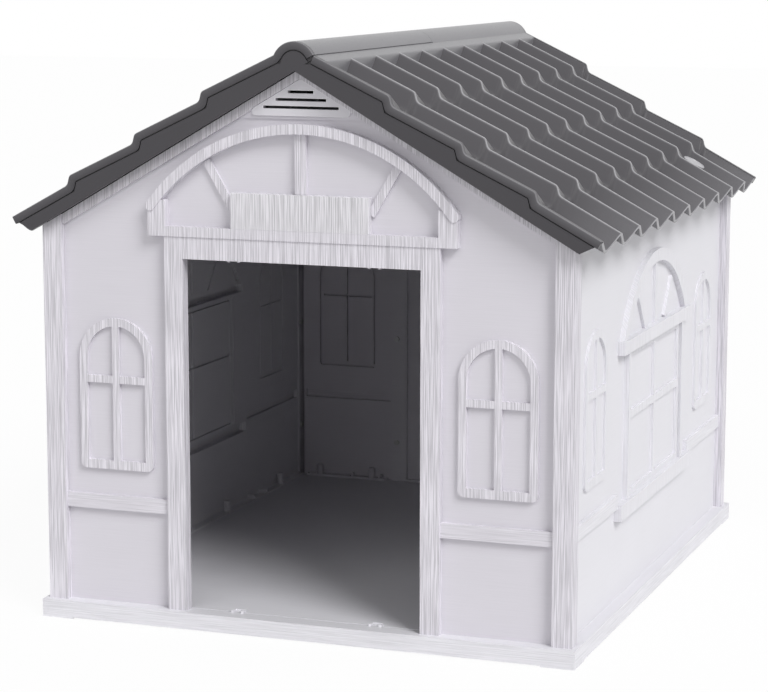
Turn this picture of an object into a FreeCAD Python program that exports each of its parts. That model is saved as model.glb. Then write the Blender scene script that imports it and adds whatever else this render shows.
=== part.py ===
import FreeCAD, Part

import math
import os

# A moulded plastic dog house: a floor tray, four hollow-backed walls, a rear doorway infill,
# and a roof of two alike tiled halves that share one ridge roll and lift off together.
# Millimetres. X runs across the doorway, -Y is the doorway side, Z is up.
# The origin is the middle of the footprint at floor level.

# ---- house ----
wall_width = 680.0          # across the outer faces of the corner posts
wall_depth = 816.0          # between the front faces of the two end walls' posts
eave_rise = 470.0           # wall foot to the roof seat at the outer corner
gable_pitch = 30.0          # degrees
sheet = 3.0                 # wall thickness of every moulding but the roof
fit = 0.3                   # clearance between pieces that slide into each other
bite = 1.0                  # joined shapes and cuts run past each other by this

# ---- floor tray ----
base_height = 22.5
base_side_ledge = 6.0       # tray beyond the posts, each side
base_end_ledge = 9.0        # tray beyond the end walls, each end
deck = 4.0                  # floor thickness
skirt = 3.5                 # rim thickness
foot_drop = 1.5             # corner feet below the rim
foot_size = 42.0
rib_pitch = 110.0
rib_thickness = 2.5
rib_rise = 4.0              # rib's lower edge above the ground
sill_groove_width = 2.0
sill_groove_depth = 0.8
sill_groove_inset = 15.0    # groove behind the door frame's face

# ---- end walls ----
post_width = 25.0
post_proud = 10.0           # post face in front of the field
post_return = 22.0          # how far a post wraps round the corner
side_recess = 11.0          # side field behind the post's side face
lip_thickness = 3.0         # inner lip that grips the side wall's tongue
wall_flange = 15.0          # end wall's depth from post face to flange edge
door_half_width = 152.0
door_rise = 436.5
jamb_width = 24.0
lintel_height = 27.0
band_rise = 118.5           # dado band above the wall foot
band_height = 18.0
band_proud = 6.0
barge_height = 13.0         # trim strip under the gable slope, measured upright
barge_proud = 6.0
panel_rise = 607.5          # gable panel above the foot
panel_proud = 2.0

# ---- pediment over the doorway ----
arch_proud = 13.0
rail_proud = 11.5           # rail, cheeks and the name plate that is flush with them
rail_half_width = 196.0
rail_height = 12.0
cheek_half_width = 197.0    # outer faces of the two cheeks
cheek_width = 23.0
cheek_height = 44.0
arch_radius = 235.0         # underside of the pediment's arch
arch_band = 12.0
arch_half_span = 193.0
arch_centre_rise = 355.5
king_bar_width = 14.0
king_bar_proud = 6.0
raker_width = 10.0
raker_proud = 4.0
raker_foot_rise = 22.0      # raker's lower end above the rail
raker_run = 34.0
raker_climb = 58.0

# ---- name plate ----
plate_half_width = 88.0
plate_height = 43.0
plate_peg_radius = 2.5
plate_peg_spread = 70.0
plate_peg_length = 5.0

# ---- gable vent ----
vent_base_rise = 611.0
vent_half_width = 76.0
vent_height = 43.9
vent_corner = 5.0
vent_flange = 2.5
vent_thickness = 2.5
vent_plug_depth = 6.0
vent_slot_height = 3.4
vent_slot_pitch = 9.2
vent_slot_first = 8.5       # first slot above the vent's lower edge
vent_slot_margin = 7.5      # slot's end inward from the sloping side
vent_slot_count = 3

# ---- small arched windows ----
window_half_width = 49.0
window_frame = 10.0
window_sill_rise = 169.5
window_sill_height = 11.0
window_spring_rise = 309.5
window_corner = 8.0
window_bar = 9.0
window_transom_rise = 277.5
end_window_offset = 246.0
end_window_proud = 5.0
side_window_offset = 283.0
side_window_proud = 3.5

# ---- large side window ----
bay_sill_half_width = 185.0
bay_sill_rise = 102.5
bay_sill_height = 20.0
bay_ledge_proud = 10.0
bay_half_width = 145.0
bay_frame = 9.0
bay_sash_gap = 5.0
bay_sash = 8.0
bay_height = 188.0
bay_proud = 7.0
bay_bar = 10.0
bay_bar_proud = 4.0
bay_bar_rise = 222.5
bay_transom_half_width = 178.0
bay_transom_height = 17.0
bay_arch_half_width = 170.0
bay_arch_rise = 96.0
bay_arch_band = 16.0
bay_raker_foot = 50.0
bay_raker_head = 88.0
bay_raker_climb = 48.0
dado_proud = 5.0

# ---- wall flanges ----
foot_flange = 12.0          # inward from the field's back
foot_flange_start = 180.0   # clears the doorway infill
foot_flange_end = 310.0
gusset_height = 8.0
gusset_places = (190.0, 235.0)
head_flange = 17.0          # side wall's roof ledge
side_head_rise = 475.5      # side wall's roof ledge above the foot
tongue = 13.0               # side wall's tongue in the corner post
tongue_rise = 467.0

# ---- doorway infill ----
infill_lap = 20.0           # infill beyond the opening
infill_plug = 7.0

# ---- screws ----
screw_radius = 2.0
screw_head_radius = 4.0
screw_head_height = 3.5
boss_radius = 5.0
boss_height = 17.5
corner_boss_radius = 4.0
corner_screw_rises = (78.0, 238.0, 398.0)
corner_screw_length = 11.0
end_screw_places = (205.0, 290.0)
side_screw_places = (100.0, 300.0)
floor_screw_length = 18.0
infill_screw_rises = (60.0, 220.0, 380.0)
infill_screw_length = 12.0
infill_screw_inset = 12.0   # outward from the opening's edge
ridge_screw_places = (70.0, 210.0, 350.0)
ridge_screw_inset = 12.0    # from the ridge line
ridge_screw_length = 14.0

# ---- locating pegs under the wall feet ----
peg_radius = 4.0
peg_length = 3.6
end_peg_place = 250.0
side_peg_place = 200.0

# ---- door catches on the sill and the lintel ----
catch_offset = 90.0
catch_spread = 6.5
catch_radius = 2.0
catch_height = 3.0
catch_inset = 13.0          # behind the door frame's face
catch_bow_thickness = 1.6

# ---- roof ----
verge_overhang = 16.0       # roof beyond the end walls' post faces
eave_overhang = 33.0        # eave tip beyond the post's side face
roof_sheet = 4.0
roof_extra_pitch = 0.8      # tiles climb this much steeper than the gable
course_pitch = 25.4         # degrees, one course of tiles
eave_pitch = 28.5           # degrees, the lowest course
course_count = 4
course_step = 88.0          # level distance from riser to riser
riser_run = 3.0
eave_course_run = 75.5
verge_rise = 41.0           # seat to tile crest at the highest riser
tile_pitch = 85.3
tile_depth = 21.5           # crest to valley, measured upright
tile_lee = 53.0             # level distance from a crest down to its valley
tile_ease = 9.0             # level length of the curve at each end of a tile's slopes
first_crest = 3.5           # first crest behind the verge, and last one before the rear verge
head_strip = 14.0           # smooth strip between the tiles and the roll
roll_radius = 28.0
roll_sheet = 4.0
roll_drop = 11.5            # roll's centre below the strip's upper edge
roll_gap = 1.2              # shadow gap under the roll's free edge
roll_seam = 0.5
under_tongue_drop = 4.0
under_tongue_start = 2.0
lip_height = 10.5
lip_depth = 7.0
fascia_recess = 1.2
fascia_thickness = 5.0
fascia_drop = 1.0           # fascia's lower edge below the seat
eave_cut_foot = 26.5        # bevelled verge end, tip to foot
eave_cut_knee = 7.0
eave_cut_knee_drop = 6.5
seat_rib = 4.0
seat_rib_inset = 8.0        # rib behind the end wall's post face
tongue_rib = 3.0
tongue_rib_drop = 10.0
gable_rib_reach = 300.0
eave_rib_inset = 9.0        # rib inward from the side wall's field

# ---- roof plaques ----
plaque_length = 32.0
plaque_width = 24.0
plaque_thickness = 2.5
plaque_sink = 4.0           # plaque's underside below the crest level
plaque_below_riser = 16.0   # plaque's middle, level distance from the lowest riser's foot
plaque_behind_crest = 28.1
plaque_tiles_from_rear = 2
plaque_seat_depth = 16.0

# ---- worked out from the sizes above ----
PLACE_DIGITS = 6            # places that agree to this many digits are one
half_width = wall_width / 2
half_depth = wall_depth / 2
slope = math.tan(math.radians(gable_pitch))
roof_slope = math.tan(math.radians(gable_pitch + roof_extra_pitch))
course_slope = math.tan(math.radians(course_pitch))
eave_slope = math.tan(math.radians(eave_pitch))
apex_rise = eave_rise + half_width * slope
lintel_rise = door_rise + lintel_height
rail_rise = lintel_rise + rail_height
side_field = half_width - side_recess
side_reach = half_depth - post_return
end_field = half_depth - post_proud
groove_depth = post_return - post_proud
screw_hole = screw_radius + fit
foot_screw_inset = sheet + foot_flange / 2
bay_head_rise = bay_sill_rise + bay_sill_height + bay_height
verge = half_depth + verge_overhang
eave_tip = half_width + eave_overhang
flange_edge = wall_flange - post_proud


def seat(x):
    """Height of the roof's seat on the gable above the ground."""
    return base_height + apex_rise - abs(x) * slope


def point(x, z):
    return FreeCAD.Vector(x, 0, z)


def box(x_low, x_high, y_low, y_high, z_low, z_high):
    corner = FreeCAD.Vector(x_low, y_low, z_low)
    return Part.makeBox(x_high - x_low, y_high - y_low, z_high - z_low, corner)


def polygon(points):
    """Upright face from (x, z) corners."""
    corners = [point(x, z) for x, z in points]
    return Part.Face(Part.makePolygon(corners + corners[:1]))


def rectangle(x_low, x_high, z_low, z_high):
    return polygon([(x_low, z_low), (x_high, z_low), (x_high, z_high), (x_low, z_high)])


def rounded(points, radius):
    """Upright face whose corners are arcs that are tangent to both sides."""
    edges = []
    corners = [point(x, z) for x, z in points]
    starts = []
    ends = []
    for index, corner in enumerate(corners):
        before = (corners[index - 1] - corner).normalize()
        after = (corners[(index + 1) % len(corners)] - corner).normalize()
        half_angle = before.getAngle(after) / 2
        reach = radius / math.tan(half_angle)
        inward = (before + after).normalize()
        centre = corner + inward * (radius / math.sin(half_angle))
        starts.append(corner + before * reach)
        ends.append(corner + after * reach)
        middle = centre - inward * radius
        edges.append(Part.Arc(starts[-1], middle, ends[-1]).toShape())
    sides = []
    for index, end in enumerate(ends):
        sides.append(edges[index])
        sides.append(Part.makeLine(end, starts[(index + 1) % len(ends)]))
    return Part.Face(Part.Wire(sides))


def slab(face, y_low, y_high):
    """Upright face given thickness from y_low to y_high."""
    moved = face.copy()
    moved.translate(FreeCAD.Vector(0, y_low, 0))
    return moved.extrude(FreeCAD.Vector(0, y_high - y_low, 0))


def rod(x, y, z, radius, length, direction):
    return Part.makeCylinder(radius, length, FreeCAD.Vector(x, y, z), direction)


UP = FreeCAD.Vector(0, 0, 1)
ACROSS = FreeCAD.Vector(1, 0, 0)
BACK = FreeCAD.Vector(0, 1, 0)


def mirrored(shape):
    return shape.mirror(FreeCAD.Vector(0, 0, 0), ACROSS)


def both(shape):
    return [shape, mirrored(shape)]


def fused(shapes):
    return shapes[0].multiFuse(shapes[1:]).removeSplitter()


def relief(outline, proud):
    """Moulded feature: its solid in front of the field, and the hollow behind its face."""
    solid = slab(outline(0), -proud, sheet)
    hollow = slab(outline(sheet), sheet - proud, sheet)
    return solid, hollow


def rib(face, proud):
    """Narrow solid bar on the field."""
    return slab(face, -proud, sheet)


def disc(centre_z, radius):
    """Upright round face about (0, centre_z)."""
    return Part.Face(Part.Wire(Part.makeCircle(radius, point(0, centre_z), BACK)))


def sector(inner, outer, centre_z, half_span):
    """Band between two arcs about (0, centre_z), ending at x = +-half_span on its middle."""
    reach = math.acos(half_span / ((inner + outer) / 2))

    def on(radius, angle):
        return point(radius * math.cos(angle), centre_z + radius * math.sin(angle))

    top = math.pi / 2
    left = math.pi - reach
    outer_arc = Part.Arc(on(outer, reach), on(outer, top), on(outer, left)).toShape()
    inner_arc = Part.Arc(on(inner, left), on(inner, top), on(inner, reach)).toShape()
    left_end = Part.makeLine(on(outer, left), on(inner, left))
    right_end = Part.makeLine(on(inner, reach), on(outer, reach))
    return Part.Face(Part.Wire([outer_arc, left_end, inner_arc, right_end]))


def bar_between(x_foot, z_foot, x_head, z_head, width):
    """Sloping bar of even width."""
    run = x_head - x_foot
    climb = z_head - z_foot
    half = width / 2 / math.hypot(run, climb)
    dx = climb * half
    dz = run * half
    return polygon([(x_foot - dx, z_foot + dz), (x_foot + dx, z_foot - dz),
                    (x_head + dx, z_head - dz), (x_head - dx, z_head + dz)])


# ---- windows ----

def arched_face(centre, half, bottom, inset_corner):
    """Round-headed outline standing on small rounded lower corners."""
    left = centre - half
    right = centre + half
    r = max(inset_corner, fit)
    bend = r * (1 - math.sqrt(0.5))
    spring = window_spring_rise
    edges = [
        Part.makeLine(point(left + r, bottom), point(right - r, bottom)),
        Part.Arc(point(right - r, bottom), point(right - bend, bottom + bend),
                 point(right, bottom + r)).toShape(),
        Part.makeLine(point(right, bottom + r), point(right, spring)),
        Part.Arc(point(right, spring), point(centre, spring + half),
                 point(left, spring)).toShape(),
        Part.makeLine(point(left, spring), point(left, bottom + r)),
        Part.Arc(point(left, bottom + r), point(left + bend, bottom + bend),
                 point(left + r, bottom)).toShape(),
    ]
    return Part.Face(Part.Wire(edges))


def small_window(centre, proud):
    """Arched frame with a mullion and a transom, hollow behind their faces."""
    daylight = window_half_width - window_frame

    def frame(inset):
        outer = arched_face(centre, window_half_width - inset, window_sill_rise + inset,
                            window_corner - inset)
        inner = arched_face(centre, daylight + inset,
                            window_sill_rise + window_sill_height - inset, fit)
        return outer.cut(inner)

    def bars(inset):
        half = window_bar / 2 - inset
        reach = daylight + sheet - inset
        foot = window_sill_rise + window_sill_height - sheet + inset
        mullion = rectangle(centre - half, centre + half, foot, window_spring_rise + reach)
        transom = rectangle(centre - reach, centre + reach, window_transom_rise + inset,
                            window_transom_rise + window_bar - inset)
        return fused([mullion, transom])

    pairs = [relief(frame, proud), relief(bars, proud)]
    return [pair[0] for pair in pairs], [pair[1] for pair in pairs]


# ---- end wall, drawn with its field's front face on y = 0 and its foot on z = 0 ----

def gable_face(lowered):
    """Whole end wall outline under the roof seat, lowered by the given height."""
    return polygon([(-half_width, 0), (half_width, 0), (half_width, eave_rise - lowered),
                    (0, apex_rise - lowered), (-half_width, eave_rise - lowered)])


def gable_band(height, x_low, x_high):
    """Strip of upright height under the seat between two distances from the middle."""
    band = gable_face(0).cut(gable_face(height))
    window = rectangle(x_low, x_high, 0, apex_rise)
    return band.common(window)


def end_post(x_groove):
    """Right corner post: face, web, side return and the lip that holds the side wall."""
    outer = half_width
    inner = half_width - post_width
    back = groove_depth
    head = eave_rise + post_width * slope
    face = box(inner, outer, -post_proud, sheet - post_proud, 0, head)
    web = box(inner, inner + sheet, -post_proud, sheet, 0, head)
    side = box(outer - sheet, outer, -post_proud, back, 0, head)
    edge = box(x_groove, outer, back - sheet, back, 0, head)
    lip = box(x_groove - sheet - lip_thickness, x_groove - sheet, -post_proud, back, 0, head)
    parts = [face, web, side, edge, lip]
    for rise in corner_screw_rises:
        parts.append(rod(x_groove, corner_screw_depth(), rise, corner_boss_radius,
                         outer - x_groove - sheet, ACROSS))
    return fused(parts)


def corner_screw_depth():
    """Corner screw line behind the end wall's field face."""
    return groove_depth - corner_boss_radius - fit * 2


def corner_holes(x_groove):
    """Screw holes through lip and boss, blind in the post's side."""
    start = x_groove - sheet - lip_thickness - bite
    length = lip_thickness + sheet + corner_screw_length
    return [rod(start, corner_screw_depth(), rise, screw_hole, length, ACROSS)
            for rise in corner_screw_rises]


def door_frame(inset):
    """Jambs and lintel as one outline round the doorway."""
    outer = door_half_width + jamb_width - inset
    inner = door_half_width + inset
    top = lintel_rise - inset
    under = door_rise + inset
    return polygon([(-outer, inset), (-inner, inset), (-inner, under), (inner, under),
                    (inner, inset), (outer, inset), (outer, top), (-outer, top)])


def door_reveal():
    """Edge flange round the opening."""
    opening = rectangle(-door_half_width, door_half_width, -bite, door_rise)
    lined = rectangle(-door_half_width - sheet, door_half_width + sheet, 0, door_rise + sheet)
    return slab(lined.cut(opening), -post_proud, flange_edge)


def pediment():
    """Rail, cheeks and arch over the doorway, with their hollows."""
    middle = arch_radius + arch_band / 2

    def rail(inset):
        return rectangle(inset - rail_half_width, rail_half_width - inset,
                         lintel_rise + inset, rail_rise - inset)

    def cheek(inset):
        block = rectangle(cheek_half_width - cheek_width + inset, cheek_half_width - inset,
                          lintel_rise + inset, lintel_rise + cheek_height - inset)
        return block.common(disc(arch_centre_rise, middle - inset))

    def arch(inset):
        return sector(arch_radius + inset, arch_radius + arch_band - inset, arch_centre_rise,
                      arch_half_span - inset)

    pairs = [relief(rail, rail_proud), relief(cheek, rail_proud), relief(arch, arch_proud)]
    cheek_solid, cheek_hollow = pairs[1]
    tip_rise = arch_centre_rise + math.sqrt(middle ** 2 - arch_half_span ** 2)
    tip = rod(arch_half_span, -arch_proud, tip_rise, arch_band / 2, arch_proud + sheet, BACK)
    solids = [pair[0] for pair in pairs] + [mirrored(cheek_solid)] + both(tip)
    hollows = [pair[1] for pair in pairs] + [mirrored(cheek_hollow)]
    return solids, hollows


def pediment_bars():
    """Upright king bar and two sloping rakers between name plate and arch."""
    plate_top = rail_rise + plate_height
    half = king_bar_width / 2
    king = rib(rectangle(-half, half, plate_top, arch_centre_rise + arch_radius + fit),
               king_bar_proud)
    foot_z = rail_rise + raker_foot_rise
    raker = rib(bar_between(plate_half_width, foot_z, plate_half_width + raker_run,
                            foot_z + raker_climb, raker_width), raker_proud)
    plate_room = box(-plate_half_width - fit, plate_half_width + fit, -raker_proud * 2, 0,
                     rail_rise, plate_top + fit)
    return [bar.cut(plate_room) for bar in [king] + both(raker)]


def gable_panel():
    """Slightly raised field in the gable's top."""
    return slab(gable_face(0).common(rectangle(-half_width, half_width, panel_rise, apex_rise)),
                -panel_proud, sheet)


def vent_outline(inset):
    """Rounded triangle of the gable vent, drawn in by an even distance."""
    side = math.hypot(vent_half_width, vent_height)
    apex_inset = inset * side / vent_half_width
    half_apex = vent_height - inset - apex_inset
    foot = half_apex * vent_half_width / vent_height
    low = vent_base_rise + inset
    return rounded([(-foot, low), (foot, low), (0, low + half_apex)], vent_corner - inset)


def end_band(inset):
    return rectangle(door_half_width + jamb_width - sheet + inset,
                     half_width - post_width + sheet - inset,
                     band_rise + inset, band_rise + band_height - inset)


def foot_flange_parts(places):
    """Foot flange with screw bosses and gussets, on the right."""
    inner = sheet + foot_flange
    parts = [box(foot_flange_start, foot_flange_end, 0, inner, 0, sheet)]
    for place in places:
        parts.append(rod(place, foot_screw_inset, 0, boss_radius, boss_height, UP))
    for place in gusset_places:
        parts.append(box(place - sheet / 2, place + sheet / 2, 0, inner, 0, gusset_height))
    return parts


def end_wall():
    """Front wall in its place; the rear wall is the same moulding turned about."""
    x_groove = side_field
    field_half = half_width - post_width + sheet
    field = slab(gable_face(0).common(rectangle(-field_half, field_half, 0, apex_rise)), 0, sheet)
    solids = [field]
    hollows = []
    for outline, proud in ((door_frame, post_proud), (end_band, band_proud)):
        solid, hollow = relief(outline, proud)
        solids.append(solid)
        hollows.append(hollow)
    solids.append(mirrored(solids[-1]))
    hollows.append(mirrored(hollows[-1]))
    more_solids, more_hollows = pediment()
    window_solids, window_hollows = small_window(end_window_offset, end_window_proud)
    for solid in window_solids:
        more_solids += both(solid)
    for hollow in window_hollows:
        more_hollows += both(hollow)
    solids += more_solids + pediment_bars() + [gable_panel()]
    hollows += more_hollows
    barge = slab(gable_band(barge_height, -field_half, field_half), -barge_proud, sheet)
    solids.append(barge.cut(slab(vent_outline(-fit), -wall_flange, -panel_proud)))
    walled = fused(solids).cut(Part.makeCompound(hollows))
    opening = box(-door_half_width, door_half_width, -wall_flange, wall_flange, -bite,
                  door_rise)
    vent_hole = slab(vent_outline(vent_flange - fit), -wall_flange, wall_flange)
    peg_holes = [rod(x, -wall_flange, plate_middle(), plate_peg_radius + fit, 2 * wall_flange,
                     BACK) for x in (-plate_peg_spread, plate_peg_spread)]
    walled = walled.cut(Part.makeCompound([opening, vent_hole] + peg_holes))

    thick = sheet / math.cos(math.radians(gable_pitch))
    flange = slab(gable_band(thick, -half_width, half_width), -barge_proud, flange_edge)
    corner_cap = slab(gable_band(thick, half_width - post_width, half_width),
                      -post_proud, groove_depth)
    parts = [walled, door_reveal(), flange] + both(corner_cap) + both(end_post(x_groove))
    for part in foot_flange_parts(end_screw_places):
        parts += both(part)
    for part in infill_bosses():
        parts += both(part)
    parts += lintel_catches()
    below_seat = slab(gable_face(0), -2 * wall_flange, 3 * wall_flange)
    pegs = both(rod(end_peg_place, foot_screw_inset, -peg_length, peg_radius, peg_length, UP))
    wall = fused([fused(parts).common(below_seat)] + pegs)
    wall = wall.cut(Part.makeCompound(end_wall_holes(x_groove)))
    wall.translate(FreeCAD.Vector(0, -end_field, base_height))
    return wall


def end_wall_holes(x_groove):
    """Screw holes of the corners, the foot and the doorway infill."""
    holes = []
    for hole in corner_holes(x_groove):
        holes += both(hole)
    for place in end_screw_places:
        holes += both(rod(place, foot_screw_inset, -bite, screw_hole, floor_screw_length, UP))
    for rise in infill_screw_rises:
        holes += both(rod(infill_screw_x(), flange_edge - infill_screw_length, rise,
                          screw_hole, infill_screw_length + bite, BACK))
    return holes


def infill_screw_x():
    return door_half_width + infill_screw_inset


def infill_bosses():
    """Screw bosses inside the jambs' hollow."""
    front = sheet - post_proud
    return [rod(infill_screw_x(), front, rise, boss_radius, flange_edge - front, BACK)
            for rise in infill_screw_rises]


def lintel_catches():
    """Nubs under the lintel's edge flange."""
    y_nub = flange_edge - catch_radius - fit
    nubs = []
    for side in (-catch_offset, catch_offset):
        for x in (side - catch_spread, side + catch_spread):
            nubs.append(rod(x, y_nub, door_rise - catch_height, catch_radius,
                            catch_height + fit, UP))
    return nubs


def plate_middle():
    return rail_rise + plate_height / 2


# ---- side wall, drawn like the end wall: field face on y = 0, foot on z = 0 ----

def bay_rectangle(half, low, high):
    def outline(inset):
        return rectangle(inset - half, half - inset, low + inset, high - inset)
    return outline


def bay_arch_centre():
    """Height of the hood's centre, from its half width and its rise."""
    radius = (bay_arch_half_width ** 2 + bay_arch_rise ** 2) / (2 * bay_arch_rise)
    return bay_head_rise + bay_transom_height + bay_arch_rise - radius


def bay_arch(inset):
    """Segmental hood band over the large window."""
    foot = bay_head_rise + bay_transom_height
    centre_z = bay_arch_centre()
    radius = foot + bay_arch_rise - centre_z
    band = disc(centre_z, radius - inset).cut(disc(centre_z, radius - bay_arch_band + inset))
    above = rectangle(-wall_width, wall_width, foot + inset, foot + wall_width)
    return band.common(above)


def large_window():
    """Sill, frame, sash, glazing bars, transom and arched head of the side's large window."""
    sill_top = bay_sill_rise + bay_sill_height
    foot = bay_head_rise + bay_transom_height
    sash_edge = bay_frame + bay_sash_gap

    def frame(inset):
        outer = rectangle(inset - bay_half_width, bay_half_width - inset, sill_top, bay_head_rise)
        inner_half = bay_half_width - bay_frame + inset
        return outer.cut(rectangle(-inner_half, inner_half, sill_top - bite,
                                   bay_head_rise + bite))

    def sash_bars(inset):
        outer = bay_half_width - sash_edge - inset
        inner = bay_half_width - sash_edge - bay_sash + inset
        low = sill_top + inset
        high = bay_head_rise - inset
        sash = rectangle(-outer, outer, low, high).cut(
            rectangle(-inner, inner, low + bay_sash - 2 * inset, high - bay_sash + 2 * inset))
        half = bay_bar / 2 - inset
        level = rectangle(-outer, outer, bay_bar_rise + inset, bay_bar_rise + bay_bar - inset)
        return fused([sash, rectangle(-half, half, low, high), level])

    def head_bars(inset):
        half = bay_bar / 2 - inset
        crown = foot + bay_arch_rise
        raker = bar_between(bay_raker_foot, foot, bay_raker_head, foot + bay_raker_climb,
                            bay_bar - 2 * inset)
        bars = fused([rectangle(-half, half, foot, crown)] + both(raker))
        room = disc(bay_arch_centre(), crown - bay_arch_centre() - bay_arch_band + sheet - inset)
        return bars.common(room).common(rectangle(-bay_half_width, bay_half_width, foot + inset,
                                                  crown))

    pairs = [
        relief(bay_rectangle(bay_sill_half_width, bay_sill_rise, sill_top), bay_ledge_proud),
        relief(bay_rectangle(bay_transom_half_width, bay_head_rise, foot), bay_ledge_proud),
        relief(frame, bay_proud),
        relief(bay_arch, bay_proud),
        relief(sash_bars, bay_bar_proud),
        relief(head_bars, bay_bar_proud),
    ]
    return [pair[0] for pair in pairs], [pair[1] for pair in pairs]


def side_wall():
    """Side wall in its drawing place, to be turned to either side."""
    reach = side_reach

    def dado(inset):
        return rectangle(bay_sill_half_width + inset, reach - inset,
                         band_rise + inset, band_rise + band_height - inset)

    solids, hollows = large_window()
    solids.append(box(-reach, reach, 0, sheet, 0, side_head_rise))
    dado_solid, dado_hollow = relief(dado, dado_proud)
    window_solids, window_hollows = small_window(side_window_offset, side_window_proud)
    for solid in window_solids + [dado_solid]:
        solids += both(solid)
    for hollow in window_hollows + [dado_hollow]:
        hollows += both(hollow)
    walled = fused(solids).cut(Part.makeCompound(hollows))

    edge = reach - fit
    inner = sheet + foot_flange
    parts = [walled]
    parts.append(box(-edge, edge, 0, inner, 0, sheet))
    parts.append(box(-edge, edge, 0, sheet + head_flange, side_head_rise - sheet,
                     side_head_rise))
    parts += both(box(reach - sheet, reach + tongue, 0, sheet, 0, tongue_rise))
    for place in side_screw_places:
        parts += both(rod(place, foot_screw_inset, 0, boss_radius, boss_height, UP))
    for place in gusset_places:
        parts += both(box(place - sheet / 2, place + sheet / 2, 0, inner, 0, gusset_height))
    parts += both(rod(side_peg_place, foot_screw_inset, -peg_length, peg_radius, peg_length, UP))
    holes = []
    for place in side_screw_places:
        holes += both(rod(place, foot_screw_inset, -bite, screw_hole, floor_screw_length, UP))
    for rise in corner_screw_rises:
        holes += both(rod(corner_screw_reach(), -bite, rise, screw_hole, 2 * sheet, BACK))
    return fused(parts).cut(Part.makeCompound(holes))


def corner_screw_reach():
    """Corner screw line's distance from the middle of the house."""
    return end_field - corner_screw_depth()


def placed_side_wall(side):
    """Side wall turned to the right (1) or the left (-1)."""
    wall = side_wall()
    wall.rotate(FreeCAD.Vector(0, 0, 0), UP, 90 * side)
    wall.translate(FreeCAD.Vector(side * side_field, 0, base_height))
    return wall


def turned(shape):
    """Half a turn about the upright axis: front to rear, right to left."""
    copy = shape.copy()
    copy.rotate(FreeCAD.Vector(0, 0, 0), UP, 180)
    return copy


# ---- inserts of the end walls ----

def name_plate():
    """Hollow-backed blank plate, flush with the rail under it, on two pegs."""

    def face(inset):
        return rectangle(inset - plate_half_width, plate_half_width - inset,
                         rail_rise + inset, rail_rise + plate_height - inset)

    parts = [slab(face(0), -rail_proud, 0).cut(slab(face(sheet), sheet - rail_proud, bite))]
    for x in (-plate_peg_spread, plate_peg_spread):
        parts.append(rod(x, sheet / 2 - rail_proud, plate_middle(), plate_peg_radius,
                         rail_proud - sheet / 2 + plate_peg_length, BACK))
    plate = fused(parts)
    plate.translate(FreeCAD.Vector(0, -end_field, base_height))
    return plate


def gable_vent():
    """Flanged louvre insert with slots of falling width."""
    front = -panel_proud - vent_thickness
    parts = [slab(vent_outline(0), front, -panel_proud),
             slab(vent_outline(vent_flange), -panel_proud - fit, vent_plug_depth - panel_proud)]
    slots = []
    for index in range(vent_slot_count):
        rise = vent_slot_first + index * vent_slot_pitch
        half = (1 - (rise + vent_slot_height) / vent_height) * vent_half_width - vent_slot_margin
        low = vent_base_rise + rise
        slots.append(box(-half, half, -wall_flange, wall_flange, low, low + vent_slot_height))
    vent = fused(parts).cut(Part.makeCompound(slots))
    vent.translate(FreeCAD.Vector(0, -end_field, base_height))
    return vent


def doorway_infill():
    """Panel screwed behind a doorway, with a shallow plug that fills the opening."""
    reach = door_half_width + infill_lap
    plug = door_half_width - fit
    back = flange_edge + sheet
    plate = slab(rectangle(-reach, reach, 0, door_rise + infill_lap), flange_edge, back)
    front = slab(rectangle(-plug, plug, 0, door_rise - fit), flange_edge - infill_plug, back)
    hollow = slab(rectangle(sheet - plug, plug - sheet, sheet, door_rise - fit - sheet),
                  flange_edge - infill_plug + sheet, back + bite)
    catches = slab(rectangle(-door_half_width, door_half_width, door_rise - catch_height - fit,
                             door_rise), -post_proud, flange_edge)
    panel = fused([plate, front]).cut(hollow).cut(catches)
    holes = []
    for rise in infill_screw_rises:
        holes += both(rod(infill_screw_x(), 0, rise, screw_hole, wall_flange, BACK))
    panel = panel.cut(Part.makeCompound(holes))
    panel.translate(FreeCAD.Vector(0, -end_field, base_height))
    return turned(panel)


# ---- floor tray ----

def rib_places(limit):
    """Evenly pitched places on both sides of the middle, within a limit."""
    count = int(limit // rib_pitch)
    return [index * rib_pitch for index in range(-count, count + 1)]


def foot_lines(end_places, side_places):
    """Points under the walls' feet: each place on both sides of the middle of each wall."""
    end_line = end_field - foot_screw_inset
    side_line = side_field - foot_screw_inset
    quarter = [(place, end_line) for place in end_places]
    quarter += [(side_line, place) for place in side_places]
    return [(x * across, y * along) for x, y in quarter for across in (-1, 1)
            for along in (-1, 1)]


def base_holes():
    """Screw and peg holes through the deck, where the walls' feet have theirs."""
    low = base_height - deck - bite
    holes = [rod(x, y, low, screw_hole, 2 * deck, UP)
             for x, y in foot_lines(end_screw_places, side_screw_places)]
    holes += [rod(x, y, low, peg_radius + fit, 2 * deck, UP)
              for x, y in foot_lines([end_peg_place], [side_peg_place])]
    return holes


def screw_head_room():
    """Room under the deck for the floor screws' heads, kept clear of the ribs."""
    return Part.makeCompound([rod(x, y, 0, screw_head_radius + fit, base_height - deck, UP)
                              for x, y in foot_lines(end_screw_places, side_screw_places)])


def sill_catches():
    """Nubs and a low bow on the doorway sill, on the right."""
    y_front = catch_inset - half_depth
    bow_y = y_front + catch_spread * 2
    parts = []
    for x in (catch_offset - catch_spread, catch_offset + catch_spread):
        parts.append(rod(x, y_front, base_height - fit, catch_radius, catch_height + fit, UP))
        half_bow = catch_bow_thickness / 2
        parts.append(box(x - half_bow, x + half_bow, y_front, bow_y,
                         base_height - fit, base_height + catch_bow_thickness))
    parts.append(box(catch_offset - catch_spread, catch_offset + catch_spread,
                     bow_y - catch_bow_thickness, bow_y,
                     base_height - fit, base_height + catch_bow_thickness))
    return parts


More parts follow.
